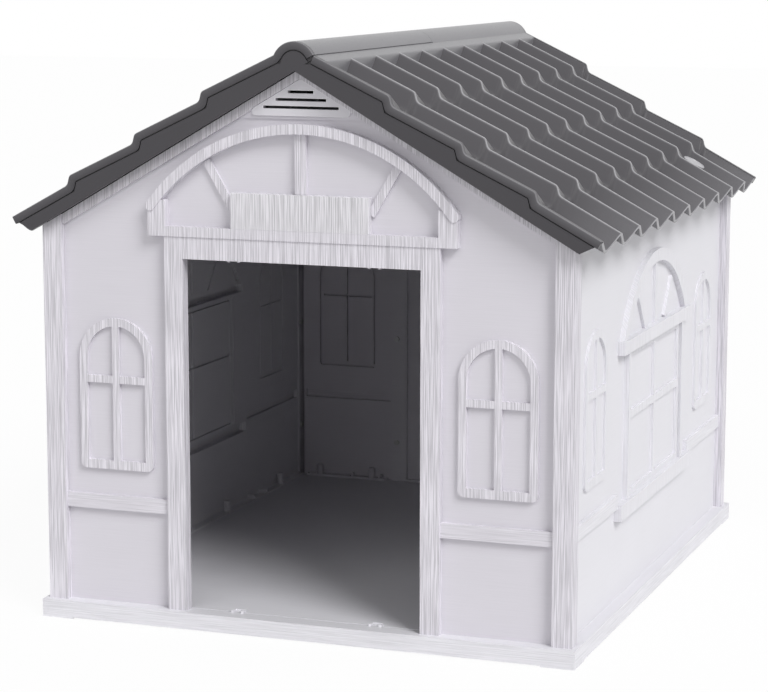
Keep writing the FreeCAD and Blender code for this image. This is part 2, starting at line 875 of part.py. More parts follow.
def base_floor():
    """Open-bottomed tray: deck, rim, corner feet and a grid of ribs."""
    x_out = half_width + base_side_ledge
    y_out = half_depth + base_end_ledge
    under = base_height - deck
    parts = [box(-x_out, x_out, -y_out, y_out, under, base_height)]
    rim = box(-x_out, x_out, -y_out, y_out, foot_drop, base_height).cut(
        box(skirt - x_out, x_out - skirt, skirt - y_out, y_out - skirt, 0, base_height))
    parts.append(rim)
    head_room = screw_head_room()
    for x in rib_places(x_out - skirt):
        parts.append(box(x - rib_thickness / 2, x + rib_thickness / 2, bite - y_out,
                         y_out - bite, rib_rise, base_height - bite).cut(head_room))
    for y in rib_places(y_out - skirt):
        parts.append(box(bite - x_out, x_out - bite, y - rib_thickness / 2,
                         y + rib_thickness / 2, rib_rise, base_height - bite).cut(head_room))
    inner = foot_size - skirt
    foot = box(x_out - foot_size, x_out, y_out - foot_size, y_out, 0, under + bite).cut(
        box(x_out - inner, x_out - skirt, y_out - inner, y_out - skirt, -bite,
            under + 2 * bite))
    for corner in both(foot):
        parts.append(corner)
        parts.append(corner.mirror(FreeCAD.Vector(0, 0, 0), BACK))
    for catch in sill_catches():
        parts += both(catch)
    groove_y = sill_groove_inset - half_depth
    groove = box(-door_half_width, door_half_width, groove_y, groove_y + sill_groove_width,
                 base_height - sill_groove_depth, base_height + bite)
    return fused(parts).cut(Part.makeCompound([groove] + base_holes()))


# ---- screws ----

def screw(length, direction, head_seat):
    """Pan-head screw whose head's underside lies at head_seat."""
    x, y, z = head_seat
    shank = rod(x, y, z, screw_radius, length, direction)
    start = head_seat - direction * screw_head_height
    head = rod(start.x, start.y, start.z, screw_head_radius, screw_head_height, direction)
    return head.fuse(shank).removeSplitter()


def corner_screws(x_side, y_side):
    x = side_field - sheet - lip_thickness
    shapes = []
    for rise in corner_screw_rises:
        head_seat = FreeCAD.Vector(x_side * x, y_side * corner_screw_reach(), base_height + rise)
        shapes.append(screw(lip_thickness + corner_screw_length - sheet, ACROSS * x_side,
                            head_seat))
    return Part.makeCompound(shapes)


def floor_screws(places, line, along_x):
    """Screws up through the deck into one wall's foot."""
    shapes = []
    for place in places:
        for side in (-1, 1):
            x, y = (side * place, line) if along_x else (line, side * place)
            head_seat = FreeCAD.Vector(x, y, base_height - deck)
            shapes.append(screw(floor_screw_length, UP, head_seat))
    return Part.makeCompound(shapes)


def infill_screws():
    shapes = []
    y = end_field - flange_edge - sheet
    for rise in infill_screw_rises:
        for side in (-1, 1):
            head_seat = FreeCAD.Vector(side * infill_screw_x(), y, base_height + rise)
            shapes.append(screw(infill_screw_length, BACK, head_seat))
    return Part.makeCompound(shapes)


# ---- roof: the right half, whose rear half carries the ridge roll ----

def tile_count():
    """Tiles along the house; the rearmost takes what is left over."""
    return round(2 * (verge - first_crest) / tile_pitch)


def tile_at(index):
    """Front crest, whole length and length of the falling slope of one tile."""
    crest = first_crest - verge + index * tile_pitch
    pitch = tile_pitch if index < tile_count() - 1 else verge - first_crest - crest
    return crest, pitch, pitch * tile_lee / tile_pitch


def share_fallen(share, ease):
    """0 to 1 along a slope that is straight between two short curves of length ease."""
    if share < ease:
        return share ** 2 / (2 * ease * (1 - ease))
    if share > 1 - ease:
        return 1 - (1 - share) ** 2 / (2 * ease * (1 - ease))
    return (share - ease / 2) / (1 - ease)


def tile_wave(y):
    """Depth below the crest level at a place along the house."""
    index = int((y + verge - first_crest) // tile_pitch)
    crest, pitch, lee = tile_at(min(max(index, 0), tile_count() - 1))
    along = y - crest
    run = lee if along < lee else pitch - lee
    share = abs(along / run) if along < lee else abs((pitch - along) / run)
    return -tile_depth * share_fallen(share, tile_ease / run)


def wave_places(y_low, y_high):
    """Places along the house where the wave's flat facets meet, crests and valleys included."""
    places = {y_low, y_high}
    for index in range(tile_count()):
        crest, pitch, lee = tile_at(index)
        half = tile_ease / 2
        for start, run in ((crest, lee), (crest + lee, pitch - lee)):
            for step in (0, half, tile_ease, run - tile_ease, run - half, run):
                if y_low + fit < start + step < y_high - fit:
                    places.add(round(start + step, PLACE_DIGITS))
    return sorted(places)


def first_riser():
    return eave_tip - eave_course_run - (course_count - 2) * course_step - riser_run


def strip_edge():
    """Level distance from the ridge line to the roll's foot."""
    return math.sqrt(roll_radius ** 2 - roll_drop ** 2)


def crest_path():
    """Stepped crest line from the roll's foot down to the eave tip, as (x, z)."""
    x = first_riser()
    z = seat(x) + verge_rise
    riser_fall = course_step * roof_slope - (course_step - riser_run) * course_slope
    path = [(strip_edge(), z + (x - strip_edge()) * course_slope)]
    for index in range(course_count - 1):
        path.append((x, z))
        path.append((x + riser_run, z - riser_fall))
        x += course_step
        z -= course_step * roof_slope
    last_x, last_z = path[-1]
    path.append((eave_tip, last_z - (eave_tip - last_x) * eave_slope))
    return path


def lowered(path, thickness):
    """Underside of a stepped sheet: each point moved square to its own stretch of the path."""
    shifted = []
    for index, (x, z) in enumerate(path):
        before = path[max(index - 1, 0)]
        after = path[min(index + 1, len(path) - 1)]
        first = square(before, (x, z)) if index else square((x, z), after)
        second = square((x, z), after) if index < len(path) - 1 else first
        share = 1 + first[0] * second[0] + first[1] * second[1]
        shifted.append((x + thickness * (first[0] + second[0]) / share,
                        z + thickness * (first[1] + second[1]) / share))
    return shifted


def square(start, end):
    """Unit direction down and inward from a stretch of the path."""
    run = end[0] - start[0]
    fall = end[1] - start[1]
    length = math.hypot(run, fall)
    return fall / length, -run / length


def tile_section():
    """Closed section of the tiled sheet, from under the roll's foot to the eave."""
    top = crest_path()
    start_x, start_z = top[0]
    foot_x = start_x + head_strip / 2
    top[0] = (foot_x, start_z - (foot_x - start_x) * course_slope)
    return top + lowered(top, roof_sheet)[::-1]


def tile_sheet():
    """Tiled sheet: the stepped section carried along the wave, as one closed shell."""
    section = tile_section()
    corners = section + section[:1]
    places = wave_places(fascia_thickness - verge, verge - fascia_thickness)
    cosine = math.cos(math.radians(eave_pitch))
    sine = math.sin(math.radians(eave_pitch))
    tip = len(crest_path()) - 1

    def rim(y):
        """Section at one place; its two eave points keep the end square to the slope."""
        depth = tile_wave(y)
        ring = []
        for index, (x, z) in enumerate(corners):
            if index in (tip, tip + 1):
                ring.append(FreeCAD.Vector(x + depth * sine * cosine, y, z + depth * cosine ** 2))
            else:
                ring.append(FreeCAD.Vector(x, y, z + depth))
        return ring

    faces = [Part.Face(Part.makePolygon(rim(y))) for y in (places[0], places[-1])]
    for y_a, y_b in zip(places, places[1:]):
        near = rim(y_a)
        far = rim(y_b)
        for index in range(len(section)):
            quad = [near[index], near[index + 1], far[index + 1], far[index], near[index]]
            faces.append(Part.Face(Part.makePolygon(quad)))
    shell = Part.makeShell(faces)
    shell.sewShape()
    solid = Part.makeSolid(shell)
    return solid if solid.Volume > 0 else solid.reversed()


def roll_centre():
    """Height of the ridge roll's axis."""
    return crest_path()[0][1] - roll_drop


def roll_disc(radius):
    """Round face about the ridge roll's axis."""
    return disc(roll_centre(), radius)


def above_line(x_a, z_a, x_b, z_b):
    """Large face above a line between two points, for trimming."""
    high = z_a + wall_width
    return polygon([(x_a, z_a), (x_b, z_b), (x_b, high), (x_a, high)])


def verge_outline(with_roll):
    """Verge face: stepped crest line above, the fascia's straight edge below."""
    path = crest_path()
    tip_x, tip_z = path[-1]
    foot_x = tip_x - eave_cut_foot
    apex_z = seat(0) - fascia_drop
    reach = strip_edge()
    seam_z = apex_z + reach * slope
    lower = [(tip_x - eave_cut_knee, tip_z - eave_cut_knee_drop),
             (foot_x, seat(foot_x) - fascia_drop)]
    if not with_roll:
        return polygon(path + lower + [(0, apex_z), (reach, seam_z)])
    strip_z = path[0][1]
    body = polygon(path + lower + [(-reach, seam_z), (-reach, strip_z)])
    free = above_line(-roll_radius, strip_z + roll_gap, 0, strip_z + roll_gap)
    held = above_line(0, strip_z - roof_sheet, roll_radius, strip_z - roof_sheet)
    dome = roll_disc(roll_radius).common(free.fuse(held))
    return body.fuse(dome).removeSplitter()


def verge_lip(with_roll):
    """Band that follows the crest line and stands proud of the fascia."""
    path = crest_path()
    band = polygon(path + lowered(path, lip_height)[::-1])
    if with_roll:
        band = band.fuse(roll_disc(roll_radius).cut(roll_disc(roll_radius - lip_height)))
    return band.common(verge_outline(with_roll))


def verge_piece(with_roll):
    """Fascia and lip at the panel's front end, drawn on the right half."""
    fascia_y = fascia_recess - verge
    fascia = slab(verge_outline(with_roll), fascia_y, fascia_y + fascia_thickness)
    lip = slab(verge_lip(with_roll), -verge, lip_depth - verge)
    return fused([fascia, lip])


def head_strip_parts():
    """Smooth strip above the tiles, with the wall that closes the tile valleys."""
    top_x, top_z = crest_path()[0]
    low_x = top_x + head_strip
    low_z = top_z - head_strip * course_slope
    strip = [(top_x, top_z), (low_x, low_z)]
    band = polygon(strip + lowered(strip, roof_sheet)[::-1])
    band = band.common(rectangle(top_x, low_x, 0, top_z + fit))
    closing = rectangle(low_x - roof_sheet, low_x, low_z - tile_depth - roof_sheet, low_z)
    end = verge - fascia_thickness
    return [slab(band, -end, end), slab(closing, -end, end)]


def roll_shell():
    """Ridge roll over the rear half; its far edge clears the other panel's strip."""
    reach = strip_edge()
    base_z = crest_path()[0][1]
    ring = roll_disc(roll_radius).cut(roll_disc(roll_radius - roll_sheet))
    free = above_line(-roll_radius, base_z + roll_gap, 0, base_z + roll_gap)
    held = above_line(0, base_z - 2 * roof_sheet, roll_radius + bite, base_z - 2 * roof_sheet)
    shell = slab(ring.common(free.fuse(held)), roll_seam / 2, verge - fascia_thickness)
    bosses = []
    for place in ridge_screw_places:
        low = base_z - under_tongue_drop
        boss = rod(-ridge_screw_inset, place, low, boss_radius, reach, UP)
        inside = slab(roll_disc(roll_radius - roll_sheet / 2), 0, verge)
        bosses.append(boss.common(inside))
    return fused([shell] + bosses)


def under_tongue():
    """Level tongue of the front half, which lies under the other panel's roll."""
    top_x, top_z = crest_path()[0]
    high = top_z - under_tongue_drop
    end = verge - lip_depth - fit
    tongue_plate = box(under_tongue_start, top_x + bite, -end, -roll_seam / 2,
                       high - roof_sheet, high)
    joggle = box(top_x - roof_sheet / 2, top_x + roof_sheet / 2, -end, -roll_seam / 2,
                 high - roof_sheet, top_z - fit)
    return fused([tongue_plate, joggle])


def ridge_holes():
    """Screw holes in the front tongue and in the rear roll's bosses."""
    high = crest_path()[0][1] - under_tongue_drop
    holes = []
    for place in ridge_screw_places:
        holes.append(rod(ridge_screw_inset, -place, high - 2 * roof_sheet, screw_hole,
                         2 * roof_sheet + bite, UP))
        holes.append(rod(-ridge_screw_inset, place, high - bite, screw_hole,
                         ridge_screw_length - roof_sheet + bite, UP))
    return holes


def gable_rib(y_middle, thickness, x_low, x_high, drop):
    """Upright rib across the panel under the tiles; drop lowers it below the seat."""
    shift = tile_wave(y_middle) - roof_sheet / 2
    path = [(x, z + shift) for x, z in crest_path()]
    face = polygon(path + [(path[-1][0], seat(path[-1][0]) - drop), (0, seat(0) - drop),
                           (0, path[0][1])])
    trimmed = face.common(rectangle(x_low, x_high, 0, seat(0) + wall_width))
    return slab(trimmed, y_middle - thickness / 2, y_middle + thickness / 2)


def eave_rib(x_outer, thickness, z_low, y_reach):
    """Rib along the eave whose top follows the tile wave."""
    last_x, last_z = crest_path()[-2]
    z = last_z - (x_outer - last_x) * eave_slope - roof_sheet / 2
    corners = [FreeCAD.Vector(x_outer, y, z + tile_wave(y))
               for y in wave_places(-y_reach, y_reach)]
    corners.append(FreeCAD.Vector(x_outer, y_reach, z_low))
    corners.append(FreeCAD.Vector(x_outer, -y_reach, z_low))
    face = Part.Face(Part.makePolygon(corners + corners[:1]))
    return face.extrude(FreeCAD.Vector(-thickness, 0, 0))


def ribs_under_roof():
    """Ribs that rest on the walls, and tongues just inside them that hold the roof in place."""
    parts = []
    reach = half_width - sheet
    seat_line = half_depth - seat_rib_inset
    tongue_line = end_field - flange_edge - fit - tongue_rib / 2
    for end in (-1, 1):
        parts.append(gable_rib(end * seat_line, seat_rib, strip_edge() + bite, reach, 0))
        parts.append(gable_rib(end * tongue_line, tongue_rib, strip_edge() + bite,
                               gable_rib_reach, tongue_rib_drop))
    ledge = base_height + side_head_rise
    side_reach_in = side_reach - 2 * sheet
    parts.append(eave_rib(side_field - eave_rib_inset, seat_rib, ledge, side_reach_in))
    parts.append(eave_rib(side_field - sheet - head_flange - fit, tongue_rib,
                          ledge - tongue_rib_drop, side_reach_in))
    return parts


def plaque_ellipse(length, width, thickness, depth):
    """Oval slab square to the lowest course, its top at depth below the crest level."""
    last_x, last_z = crest_path()[-2]
    crest_y = tile_at(tile_count() - plaque_tiles_from_rear)[0]
    across = FreeCAD.Vector(1, 0, -eave_slope).normalize()
    normal = FreeCAD.Vector(eave_slope, 0, 1).normalize()
    centre = FreeCAD.Vector(last_x + plaque_below_riser, crest_y + plaque_behind_crest,
                            last_z - plaque_below_riser * eave_slope)
    centre -= normal * (depth + thickness)
    curve = Part.Ellipse(centre + across * (length / 2), centre + BACK * (width / 2), centre)
    return Part.Face(Part.Wire(curve.toShape())).extrude(normal * thickness)


def roof_plaque():
    return plaque_ellipse(plaque_length, plaque_width, plaque_thickness,
                          plaque_sink - plaque_thickness)


def roof_panel():
    """Right roof half."""
    plain_end = verge_piece(False)
    roll_end = verge_piece(True).mirror(FreeCAD.Vector(0, 0, 0), BACK)
    parts = [tile_sheet(), plain_end, roll_end, roll_shell(), under_tongue()]
    parts += head_strip_parts() + ribs_under_roof()
    parts.append(plaque_ellipse(plaque_length, plaque_width, plaque_seat_depth, plaque_sink))
    return fused(parts).cut(Part.makeCompound(ridge_holes()))


def ridge_screws():
    """Screws up through the right panel's front tongue into the left panel's roll."""
    shapes = []
    high = crest_path()[0][1] - under_tongue_drop - roof_sheet
    for place in ridge_screw_places:
        shapes.append(screw(ridge_screw_length, UP,
                            FreeCAD.Vector(ridge_screw_inset, -place, high)))
    return Part.makeCompound(shapes)


def every_piece():
    """All pieces by name, each in its place on the house."""
    front = end_wall()
    panel = roof_panel()
    plate = name_plate()
    vent = gable_vent()
    plaque = roof_plaque()
    end_line = end_field - foot_screw_inset
    side_line = side_field - foot_screw_inset
    return {
        "base_floor": base_floor(),
        "front_wall": front,
        "rear_wall": turned(front),
        "right_side_wall": placed_side_wall(1),
        "left_side_wall": placed_side_wall(-1),
        "rear_doorway_infill": doorway_infill(),
        "front_name_plate": plate,
        "rear_name_plate": turned(plate),
        "front_gable_vent": vent,
        "rear_gable_vent": turned(vent),
        "roof_panel_right": panel,
        "roof_panel_left": turned(panel),
        "roof_plaque_right": plaque,
        "roof_plaque_left": turned(plaque),
        "ridge_screws_front": ridge_screws(),
        "ridge_screws_rear": turned(ridge_screws()),
        "corner_screws_front_right": corner_screws(1, -1),
        "corner_screws_front_left": corner_screws(-1, -1),
        "corner_screws_rear_right": corner_screws(1, 1),
        "corner_screws_rear_left": corner_screws(-1, 1),
        "floor_screws_front": floor_screws(end_screw_places, -end_line, True),
        "floor_screws_rear": floor_screws(end_screw_places, end_line, True),
        "floor_screws_right": floor_screws(side_screw_places, side_line, False),
        "floor_screws_left": floor_screws(side_screw_places, -side_line, False),
        "infill_screws": infill_screws(),
    }


os.makedirs("parts", exist_ok=True)
for name, shape in every_piece().items():
    shape.exportStep(f"parts/{name}.step")
    print(f"{name}: {len(shape.Solids)} solids, valid {shape.isValid()}, "
          f"{shape.Volume / 1000:.1f} cm3")
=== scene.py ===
"""A dog house of moulded plastic: a floor tray, four hollow-backed walls with raised frames and
windows, a blank name plate and a vent in each gable, and a lift-off roof of two tiled halves.
Metres. X runs across the doorway, -Y is the doorway side, Z is up."""
import math

import bmesh
import bpy
import numpy as np
from mathutils import Matrix, Vector


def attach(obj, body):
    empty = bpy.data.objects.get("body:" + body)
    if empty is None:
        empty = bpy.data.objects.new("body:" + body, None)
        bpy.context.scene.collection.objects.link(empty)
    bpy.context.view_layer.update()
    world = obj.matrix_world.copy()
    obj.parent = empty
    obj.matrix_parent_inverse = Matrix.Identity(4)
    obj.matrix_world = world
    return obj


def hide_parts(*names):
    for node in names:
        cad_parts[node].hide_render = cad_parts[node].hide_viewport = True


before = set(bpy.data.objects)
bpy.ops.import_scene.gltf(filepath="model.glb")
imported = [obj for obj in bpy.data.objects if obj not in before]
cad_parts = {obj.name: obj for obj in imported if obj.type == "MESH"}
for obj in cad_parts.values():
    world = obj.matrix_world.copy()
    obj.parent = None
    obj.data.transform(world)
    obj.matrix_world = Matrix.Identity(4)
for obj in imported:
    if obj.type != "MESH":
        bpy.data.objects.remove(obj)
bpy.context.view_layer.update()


# ---- camera ----
# It stands in front and to the right of the house at chest height and looks a little down,
# with a long lens, so that the doorway and the right side wall both show.
camera_place = Vector((1.0953, -3.110, 0.8305))
camera_yaw = math.radians(20.097)
camera_tilt = math.radians(-9.145)
camera_roll = math.radians(0.046)
camera_data = bpy.data.cameras.new("camera")
camera_data.sensor_width = 36.0
camera_data.lens = 116.28
camera_data.clip_end = 60.0
camera = bpy.data.objects.new("camera", camera_data)
bpy.context.scene.collection.objects.link(camera)
look = Vector((-math.sin(camera_yaw) * math.cos(camera_tilt),
               math.cos(camera_yaw) * math.cos(camera_tilt), math.sin(camera_tilt)))
aim = look.to_track_quat("-Z", "Y").to_matrix().to_4x4()
camera.matrix_world = Matrix.Translation(camera_place) @ aim @ Matrix.Rotation(camera_roll, 4, "Z")
bpy.context.scene.camera = camera


# ---- studio ----
# A white floor that keeps a faint shadow, a white surround, a broad lamp high in front on the
# right that lights the right wall most, and a weak wide fill from the front.
bpy.context.scene.view_settings.view_transform = "Standard"


def node_of(tree, kind, **sockets):
    """New shader node with its named input sockets set or linked."""
    made = tree.nodes.new(kind)
    for key, value in sockets.items():
        socket = made.inputs[key.replace("_", " ")]
        if isinstance(value, bpy.types.NodeSocket):
            tree.links.new(value, socket)
        else:
            socket.default_value = value
    return made


def seen_directly(tree):
    """1 for what the eye, a mirror or glass sees, 0 for light that falls on things."""
    path = tree.nodes.new("ShaderNodeLightPath")
    total = node_of(tree, "ShaderNodeMath")
    total.operation = "MAXIMUM"
    tree.links.new(path.outputs["Is Camera Ray"], total.inputs[0])
    tree.links.new(path.outputs["Is Transmission Ray"], total.inputs[1])
    both = node_of(tree, "ShaderNodeMath")
    both.operation = "MAXIMUM"
    tree.links.new(total.outputs[0], both.inputs[0])
    tree.links.new(path.outputs["Is Glossy Ray"], both.inputs[1])
    return both.outputs[0]


surround = bpy.data.worlds.new("surround")
surround.use_nodes = True
bpy.context.scene.world = surround
surround_tree = surround.node_tree
surround_tree.nodes.clear()
room_light = node_of(surround_tree, "ShaderNodeBackground", Color=(1, 1, 1, 1), Strength=0.33)
white_view = node_of(surround_tree, "ShaderNodeBackground", Color=(1, 1, 1, 1), Strength=1.0)
surround_mix = node_of(surround_tree, "ShaderNodeMixShader", Fac=seen_directly(surround_tree))
surround_tree.links.new(room_light.outputs[0], surround_mix.inputs[1])
surround_tree.links.new(white_view.outputs[0], surround_mix.inputs[2])
surround_out = surround_tree.nodes.new("ShaderNodeOutputWorld")
surround_tree.links.new(surround_mix.outputs[0], surround_out.inputs["Surface"])

floor_mesh = bpy.data.meshes.new("studio_floor")
floor_half = 14.0
floor_height = -0.0005
floor_mesh.from_pydata([(-floor_half, -floor_half, floor_height),
                        (floor_half, -floor_half, floor_height),
                        (floor_half, floor_half, floor_height),
                        (-floor_half, floor_half, floor_height)], [], [(0, 1, 2, 3)])
floor = bpy.data.objects.new("studio_floor", floor_mesh)
bpy.context.scene.collection.objects.link(floor)
floor_paint = bpy.data.materials.new("studio_floor")
floor_paint.use_nodes = True
floor_tree = floor_paint.node_tree
floor_tree.nodes.clear()
floor_lit = node_of(floor_tree, "ShaderNodeBsdfDiffuse", Color=(0.85, 0.85, 0.85, 1))
floor_glow = node_of(floor_tree, "ShaderNodeEmission", Color=(1, 1, 1, 1), Strength=1.0)
white_share = 0.95
floor_share = node_of(floor_tree, "ShaderNodeMath")
floor_share.operation = "MULTIPLY"
floor_share.inputs[1].default_value = white_share
floor_tree.links.new(seen_directly(floor_tree), floor_share.inputs[0])
floor_mix = node_of(floor_tree, "ShaderNodeMixShader", Fac=floor_share.outputs[0])
floor_tree.links.new(floor_lit.outputs[0], floor_mix.inputs[1])
floor_tree.links.new(floor_glow.outputs[0], floor_mix.inputs[2])
floor_out = floor_tree.nodes.new("ShaderNodeOutputMaterial")
floor_tree.links.new(floor_mix.outputs[0], floor_out.inputs["Surface"])
floor_mesh.materials.append(floor_paint)

for lamp_name, strength, spread, toward in (
        ("key_lamp", 2.40, 26.0, Vector((-0.80, 0.52, -0.86))),
        ("fill_lamp", 0.50, 50.0, Vector((0.12, 0.90, -0.60)))):
    lamp_data = bpy.data.lights.new(lamp_name, "SUN")
    lamp_data.energy = strength
    lamp_data.angle = math.radians(spread)
    lamp = bpy.data.objects.new(lamp_name, lamp_data)
    lamp.rotation_euler = toward.to_track_quat("-Z", "Y").to_euler()
    bpy.context.scene.collection.objects.link(lamp)


# ---- floor tray ----
# The tray that the walls are screwed to: light grey moulded plastic, with a rim 22.5 mm high
# whose faces carry a fine level grain; its soft edges are a lighter colour, a painted highlight.
def linear(red, green, blue):
    """Colour in 0 to 255 display values as the light values that a shader takes."""
    shown = np.array((red, green, blue)) / 255
    light = np.where(shown <= 0.04045, shown / 12.92, ((shown + 0.055) / 1.055) ** 2.4)
    return (*light.tolist(), 1.0)


def grained_plastic(name, colour, roughness, depth, contrast):
    """Moulded plastic with wood grain. The grain map gives metres along and across the grain.
    Two noises, long along it and 1.3 mm and 0.8 mm fine across it, are added and weighed by the
    piece's grain share; the sum darkens the colour in its hollows and is the bump's height. A
    third, even noise is the fine spark texture of the mould."""
    coarse_cells = (14.0, 760.0, 1.0)
    fine_cells = (40.0, 1300.0, 1.0)
    fine_part = 0.45
    grain_swing = 0.20
    gloss_swing = 0.06
    spark_part = 0.06
    material = bpy.data.materials.new(name)
    material.use_nodes = True
    tree = material.node_tree
    shader = tree.nodes["Principled BSDF"]
    shader.inputs["IOR"].default_value = 1.49
    share = tree.nodes.new("ShaderNodeAttribute")
    share.attribute_name = "grain_share"
    along = tree.nodes.new("ShaderNodeUVMap")
    along.uv_map = "grain"

    def grain(cells):
        """Noise with so many cells in a metre along and across the grain."""
        placed = node_of(tree, "ShaderNodeMapping", Vector=along.outputs[0], Scale=cells)
        return node_of(tree, "ShaderNodeTexNoise", Vector=placed.outputs[0], Scale=1.0,
                       Detail=0.0, Distortion=0.12)

    coarse = grain(coarse_cells)
    fine = grain(fine_cells)
    summed = node_of(tree, "ShaderNodeMath")
    summed.operation = "MULTIPLY_ADD"
    tree.links.new(fine.outputs["Fac"], summed.inputs[0])
    summed.inputs[1].default_value = fine_part
    tree.links.new(coarse.outputs["Fac"], summed.inputs[2])
    centred = node_of(tree, "ShaderNodeMath")
    centred.operation = "SUBTRACT"
    tree.links.new(summed.outputs[0], centred.inputs[0])
    centred.inputs[1].default_value = (1 + fine_part) / 2
    relief = node_of(tree, "ShaderNodeMath")
    relief.operation = "MULTIPLY"
    tree.links.new(centred.outputs[0], relief.inputs[0])
    tree.links.new(share.outputs["Fac"], relief.inputs[1])

    place = tree.nodes.new("ShaderNodeTexCoord")
    spark = node_of(tree, "ShaderNodeTexNoise", Vector=place.outputs["Object"], Scale=700.0,
                    Detail=2.0)
    tone = node_of(tree, "ShaderNodeMapRange", Value=relief.outputs[0])
    tone.inputs["From Min"].default_value = -grain_swing
    tone.inputs["From Max"].default_value = grain_swing
    tone.inputs["To Min"].default_value = 1.0 - contrast
    tone.inputs["To Max"].default_value = 1.0 + contrast / 2
    cloud = node_of(tree, "ShaderNodeTexNoise", Vector=place.outputs["Object"], Scale=7.0,
                    Detail=2.0)
    cloud_tone = node_of(tree, "ShaderNodeMapRange", Value=cloud.outputs["Fac"])
    cloud_tone.inputs["To Min"].default_value = 0.97
    cloud_tone.inputs["To Max"].default_value = 1.03
    tones = node_of(tree, "ShaderNodeMath")
    tones.operation = "MULTIPLY"
    tree.links.new(tone.outputs[0], tones.inputs[0])
    tree.links.new(cloud_tone.outputs[0], tones.inputs[1])
    paint = node_of(tree, "ShaderNodeVectorMath")
    paint.operation = "SCALE"
    paint.inputs[0].default_value = colour[:3]
    tree.links.new(tones.outputs[0], paint.inputs["Scale"])
    tree.links.new(paint.outputs[0], shader.inputs["Base Color"])

    gloss = node_of(tree, "ShaderNodeMapRange", Value=spark.outputs["Fac"])
    gloss.inputs["To Min"].default_value = roughness - gloss_swing
    gloss.inputs["To Max"].default_value = roughness + gloss_swing
    tree.links.new(gloss.outputs[0], shader.inputs["Roughness"])
    height = node_of(tree, "ShaderNodeMath")
    height.operation = "MULTIPLY_ADD"
    tree.links.new(spark.outputs["Fac"], height.inputs[0])
    height.inputs[1].default_value = spark_part
    tree.links.new(relief.outputs[0], height.inputs[2])
    bump = node_of(tree, "ShaderNodeBump", Height=height.outputs[0], Strength=0.8, Distance=depth)
    tree.links.new(bump.outputs[0], shader.inputs["Normal"])
    return material


def whole_faces(node):
    """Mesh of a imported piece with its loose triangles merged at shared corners, and joined into
    one face wherever neighbours lie in the same plane."""
    made = bmesh.new()
    made.from_mesh(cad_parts[node].data)
    bmesh.ops.remove_doubles(made, verts=made.verts, dist=2e-6)
    bmesh.ops.dissolve_limit(made, angle_limit=math.radians(0.4), verts=made.verts,
                             edges=made.edges)
    mesh = bpy.data.meshes.new(node)
    made.to_mesh(mesh)
    made.free()
    for spare in ("custom_normal", "sharp_face", "sharp_edge"):
        if spare in mesh.attributes:
            mesh.attributes.remove(mesh.attributes[spare])
    mesh.materials.clear()
    return mesh


def face_middles(mesh):
    """Middle of each face, place of each face corner, and each corner's face, as whole arrays."""
    middles = np.empty(len(mesh.polygons) * 3)
    mesh.polygons.foreach_get("center", middles)
    corner_vertex = np.empty(len(mesh.loops), int)
    mesh.loops.foreach_get("vertex_index", corner_vertex)
    sides = np.empty(len(mesh.polygons), int)
    mesh.polygons.foreach_get("loop_total", sides)
    corner_face = np.repeat(np.arange(len(sides)), sides)
    places = np.empty(len(mesh.vertices) * 3)
    mesh.vertices.foreach_get("co", places)
    return middles.reshape(-1, 3), places.reshape(-1, 3)[corner_vertex], corner_face


def lay_grain(mesh, regions, turn=1):
    """Writes the grain map. A region is (which faces, metres along, metres across, share), the
    first that holds a face counts, and turn=-1 reads the piece half a turn about upright."""
    middles, corners, corner_face = face_middles(mesh)
    about = np.array((turn, turn, 1))
    middles = middles * about
    corners = corners * about
    inside = [held(*middles.T) for held, *_ in regions]
    at_corner = [mask[corner_face] for mask in inside]
    along = np.select(at_corner, [region[1](*corners.T) for region in regions])
    across = np.select(at_corner, [region[2](*corners.T) for region in regions])
    share = np.select(inside, [np.full(len(middles), region[3]) for region in regions])
    grain_map = mesh.uv_layers.new(name="grain")
    grain_map.data.foreach_set("uv", np.column_stack((along, across)).ravel())
    spread = mesh.attributes.new("grain_share", "FLOAT", "FACE")
    spread.data.foreach_set("value", share.astype(np.float32))


def moulded_piece(name, mesh, face_material, edge_highlight_material, edge_width, body, replaced):
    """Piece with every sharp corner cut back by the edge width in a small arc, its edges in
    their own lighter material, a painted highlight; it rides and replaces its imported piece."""
    mesh.materials.append(face_material)
    mesh.materials.append(edge_highlight_material)
    piece = bpy.data.objects.new(name, mesh)
    bpy.context.scene.collection.objects.link(piece)
    mesh.shade_smooth()
    soften = piece.modifiers.new("soft edges", "BEVEL")
    soften.width = edge_width
    soften.segments = 2
    soften.limit_method = "ANGLE"
    soften.angle_limit = math.radians(28)
    soften.material = 1
    soften.harden_normals = True
    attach(piece, body)
    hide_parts(replaced)


tray_colour = linear(222, 221, 226)
tray_face = grained_plastic("tray_plastic", tray_colour, 0.48, 0.0005, 0.10)
# Painted highlight: the tray's soft edges take a lighter copy of the tray plastic.
tray_edge_highlight = grained_plastic("tray_edge_painted_highlight", linear(236, 235, 239), 0.42, 0.0003, 0.05)
tray_side_face = 0.345
tray_end_face = 0.416
deck_height = 0.0224
tray_edge_width = 0.0009
rim_grain_share = 0.8
deck_grain_share = 0.15
tray_rim = [
    (lambda x, y, z: (np.abs(x) > tray_side_face) & (z < deck_height),
     lambda x, y, z: y, lambda x, y, z: z, rim_grain_share),
    (lambda x, y, z: (np.abs(y) > tray_end_face) & (z < deck_height),
     lambda x, y, z: x, lambda x, y, z: z, rim_grain_share),
    (lambda x, y, z: z > -1, lambda x, y, z: x, lambda x, y, z: y, deck_grain_share),
]
tray_mesh = whole_faces("base_floor")
lay_grain(tray_mesh, tray_rim)
moulded_piece("floor_tray", tray_mesh, tray_face, tray_edge_highlight, tray_edge_width, "house",
              "base_floor")


# ---- end walls ----
# The front wall and its twin at the rear: one hollow-backed moulding each, whose posts, door
# frame, pediment, windows and trim carry upright wood grain, on an almost smooth field.
trim_front = -0.4003
post_inner = 0.3145
band_low = 0.1405
band_high = 0.1595
band_grain_share = 0.35
field_grain_share = 0.05
turned_share = 0.7


def upright(x, y, z):
    """Metres along upright grain."""
    return z


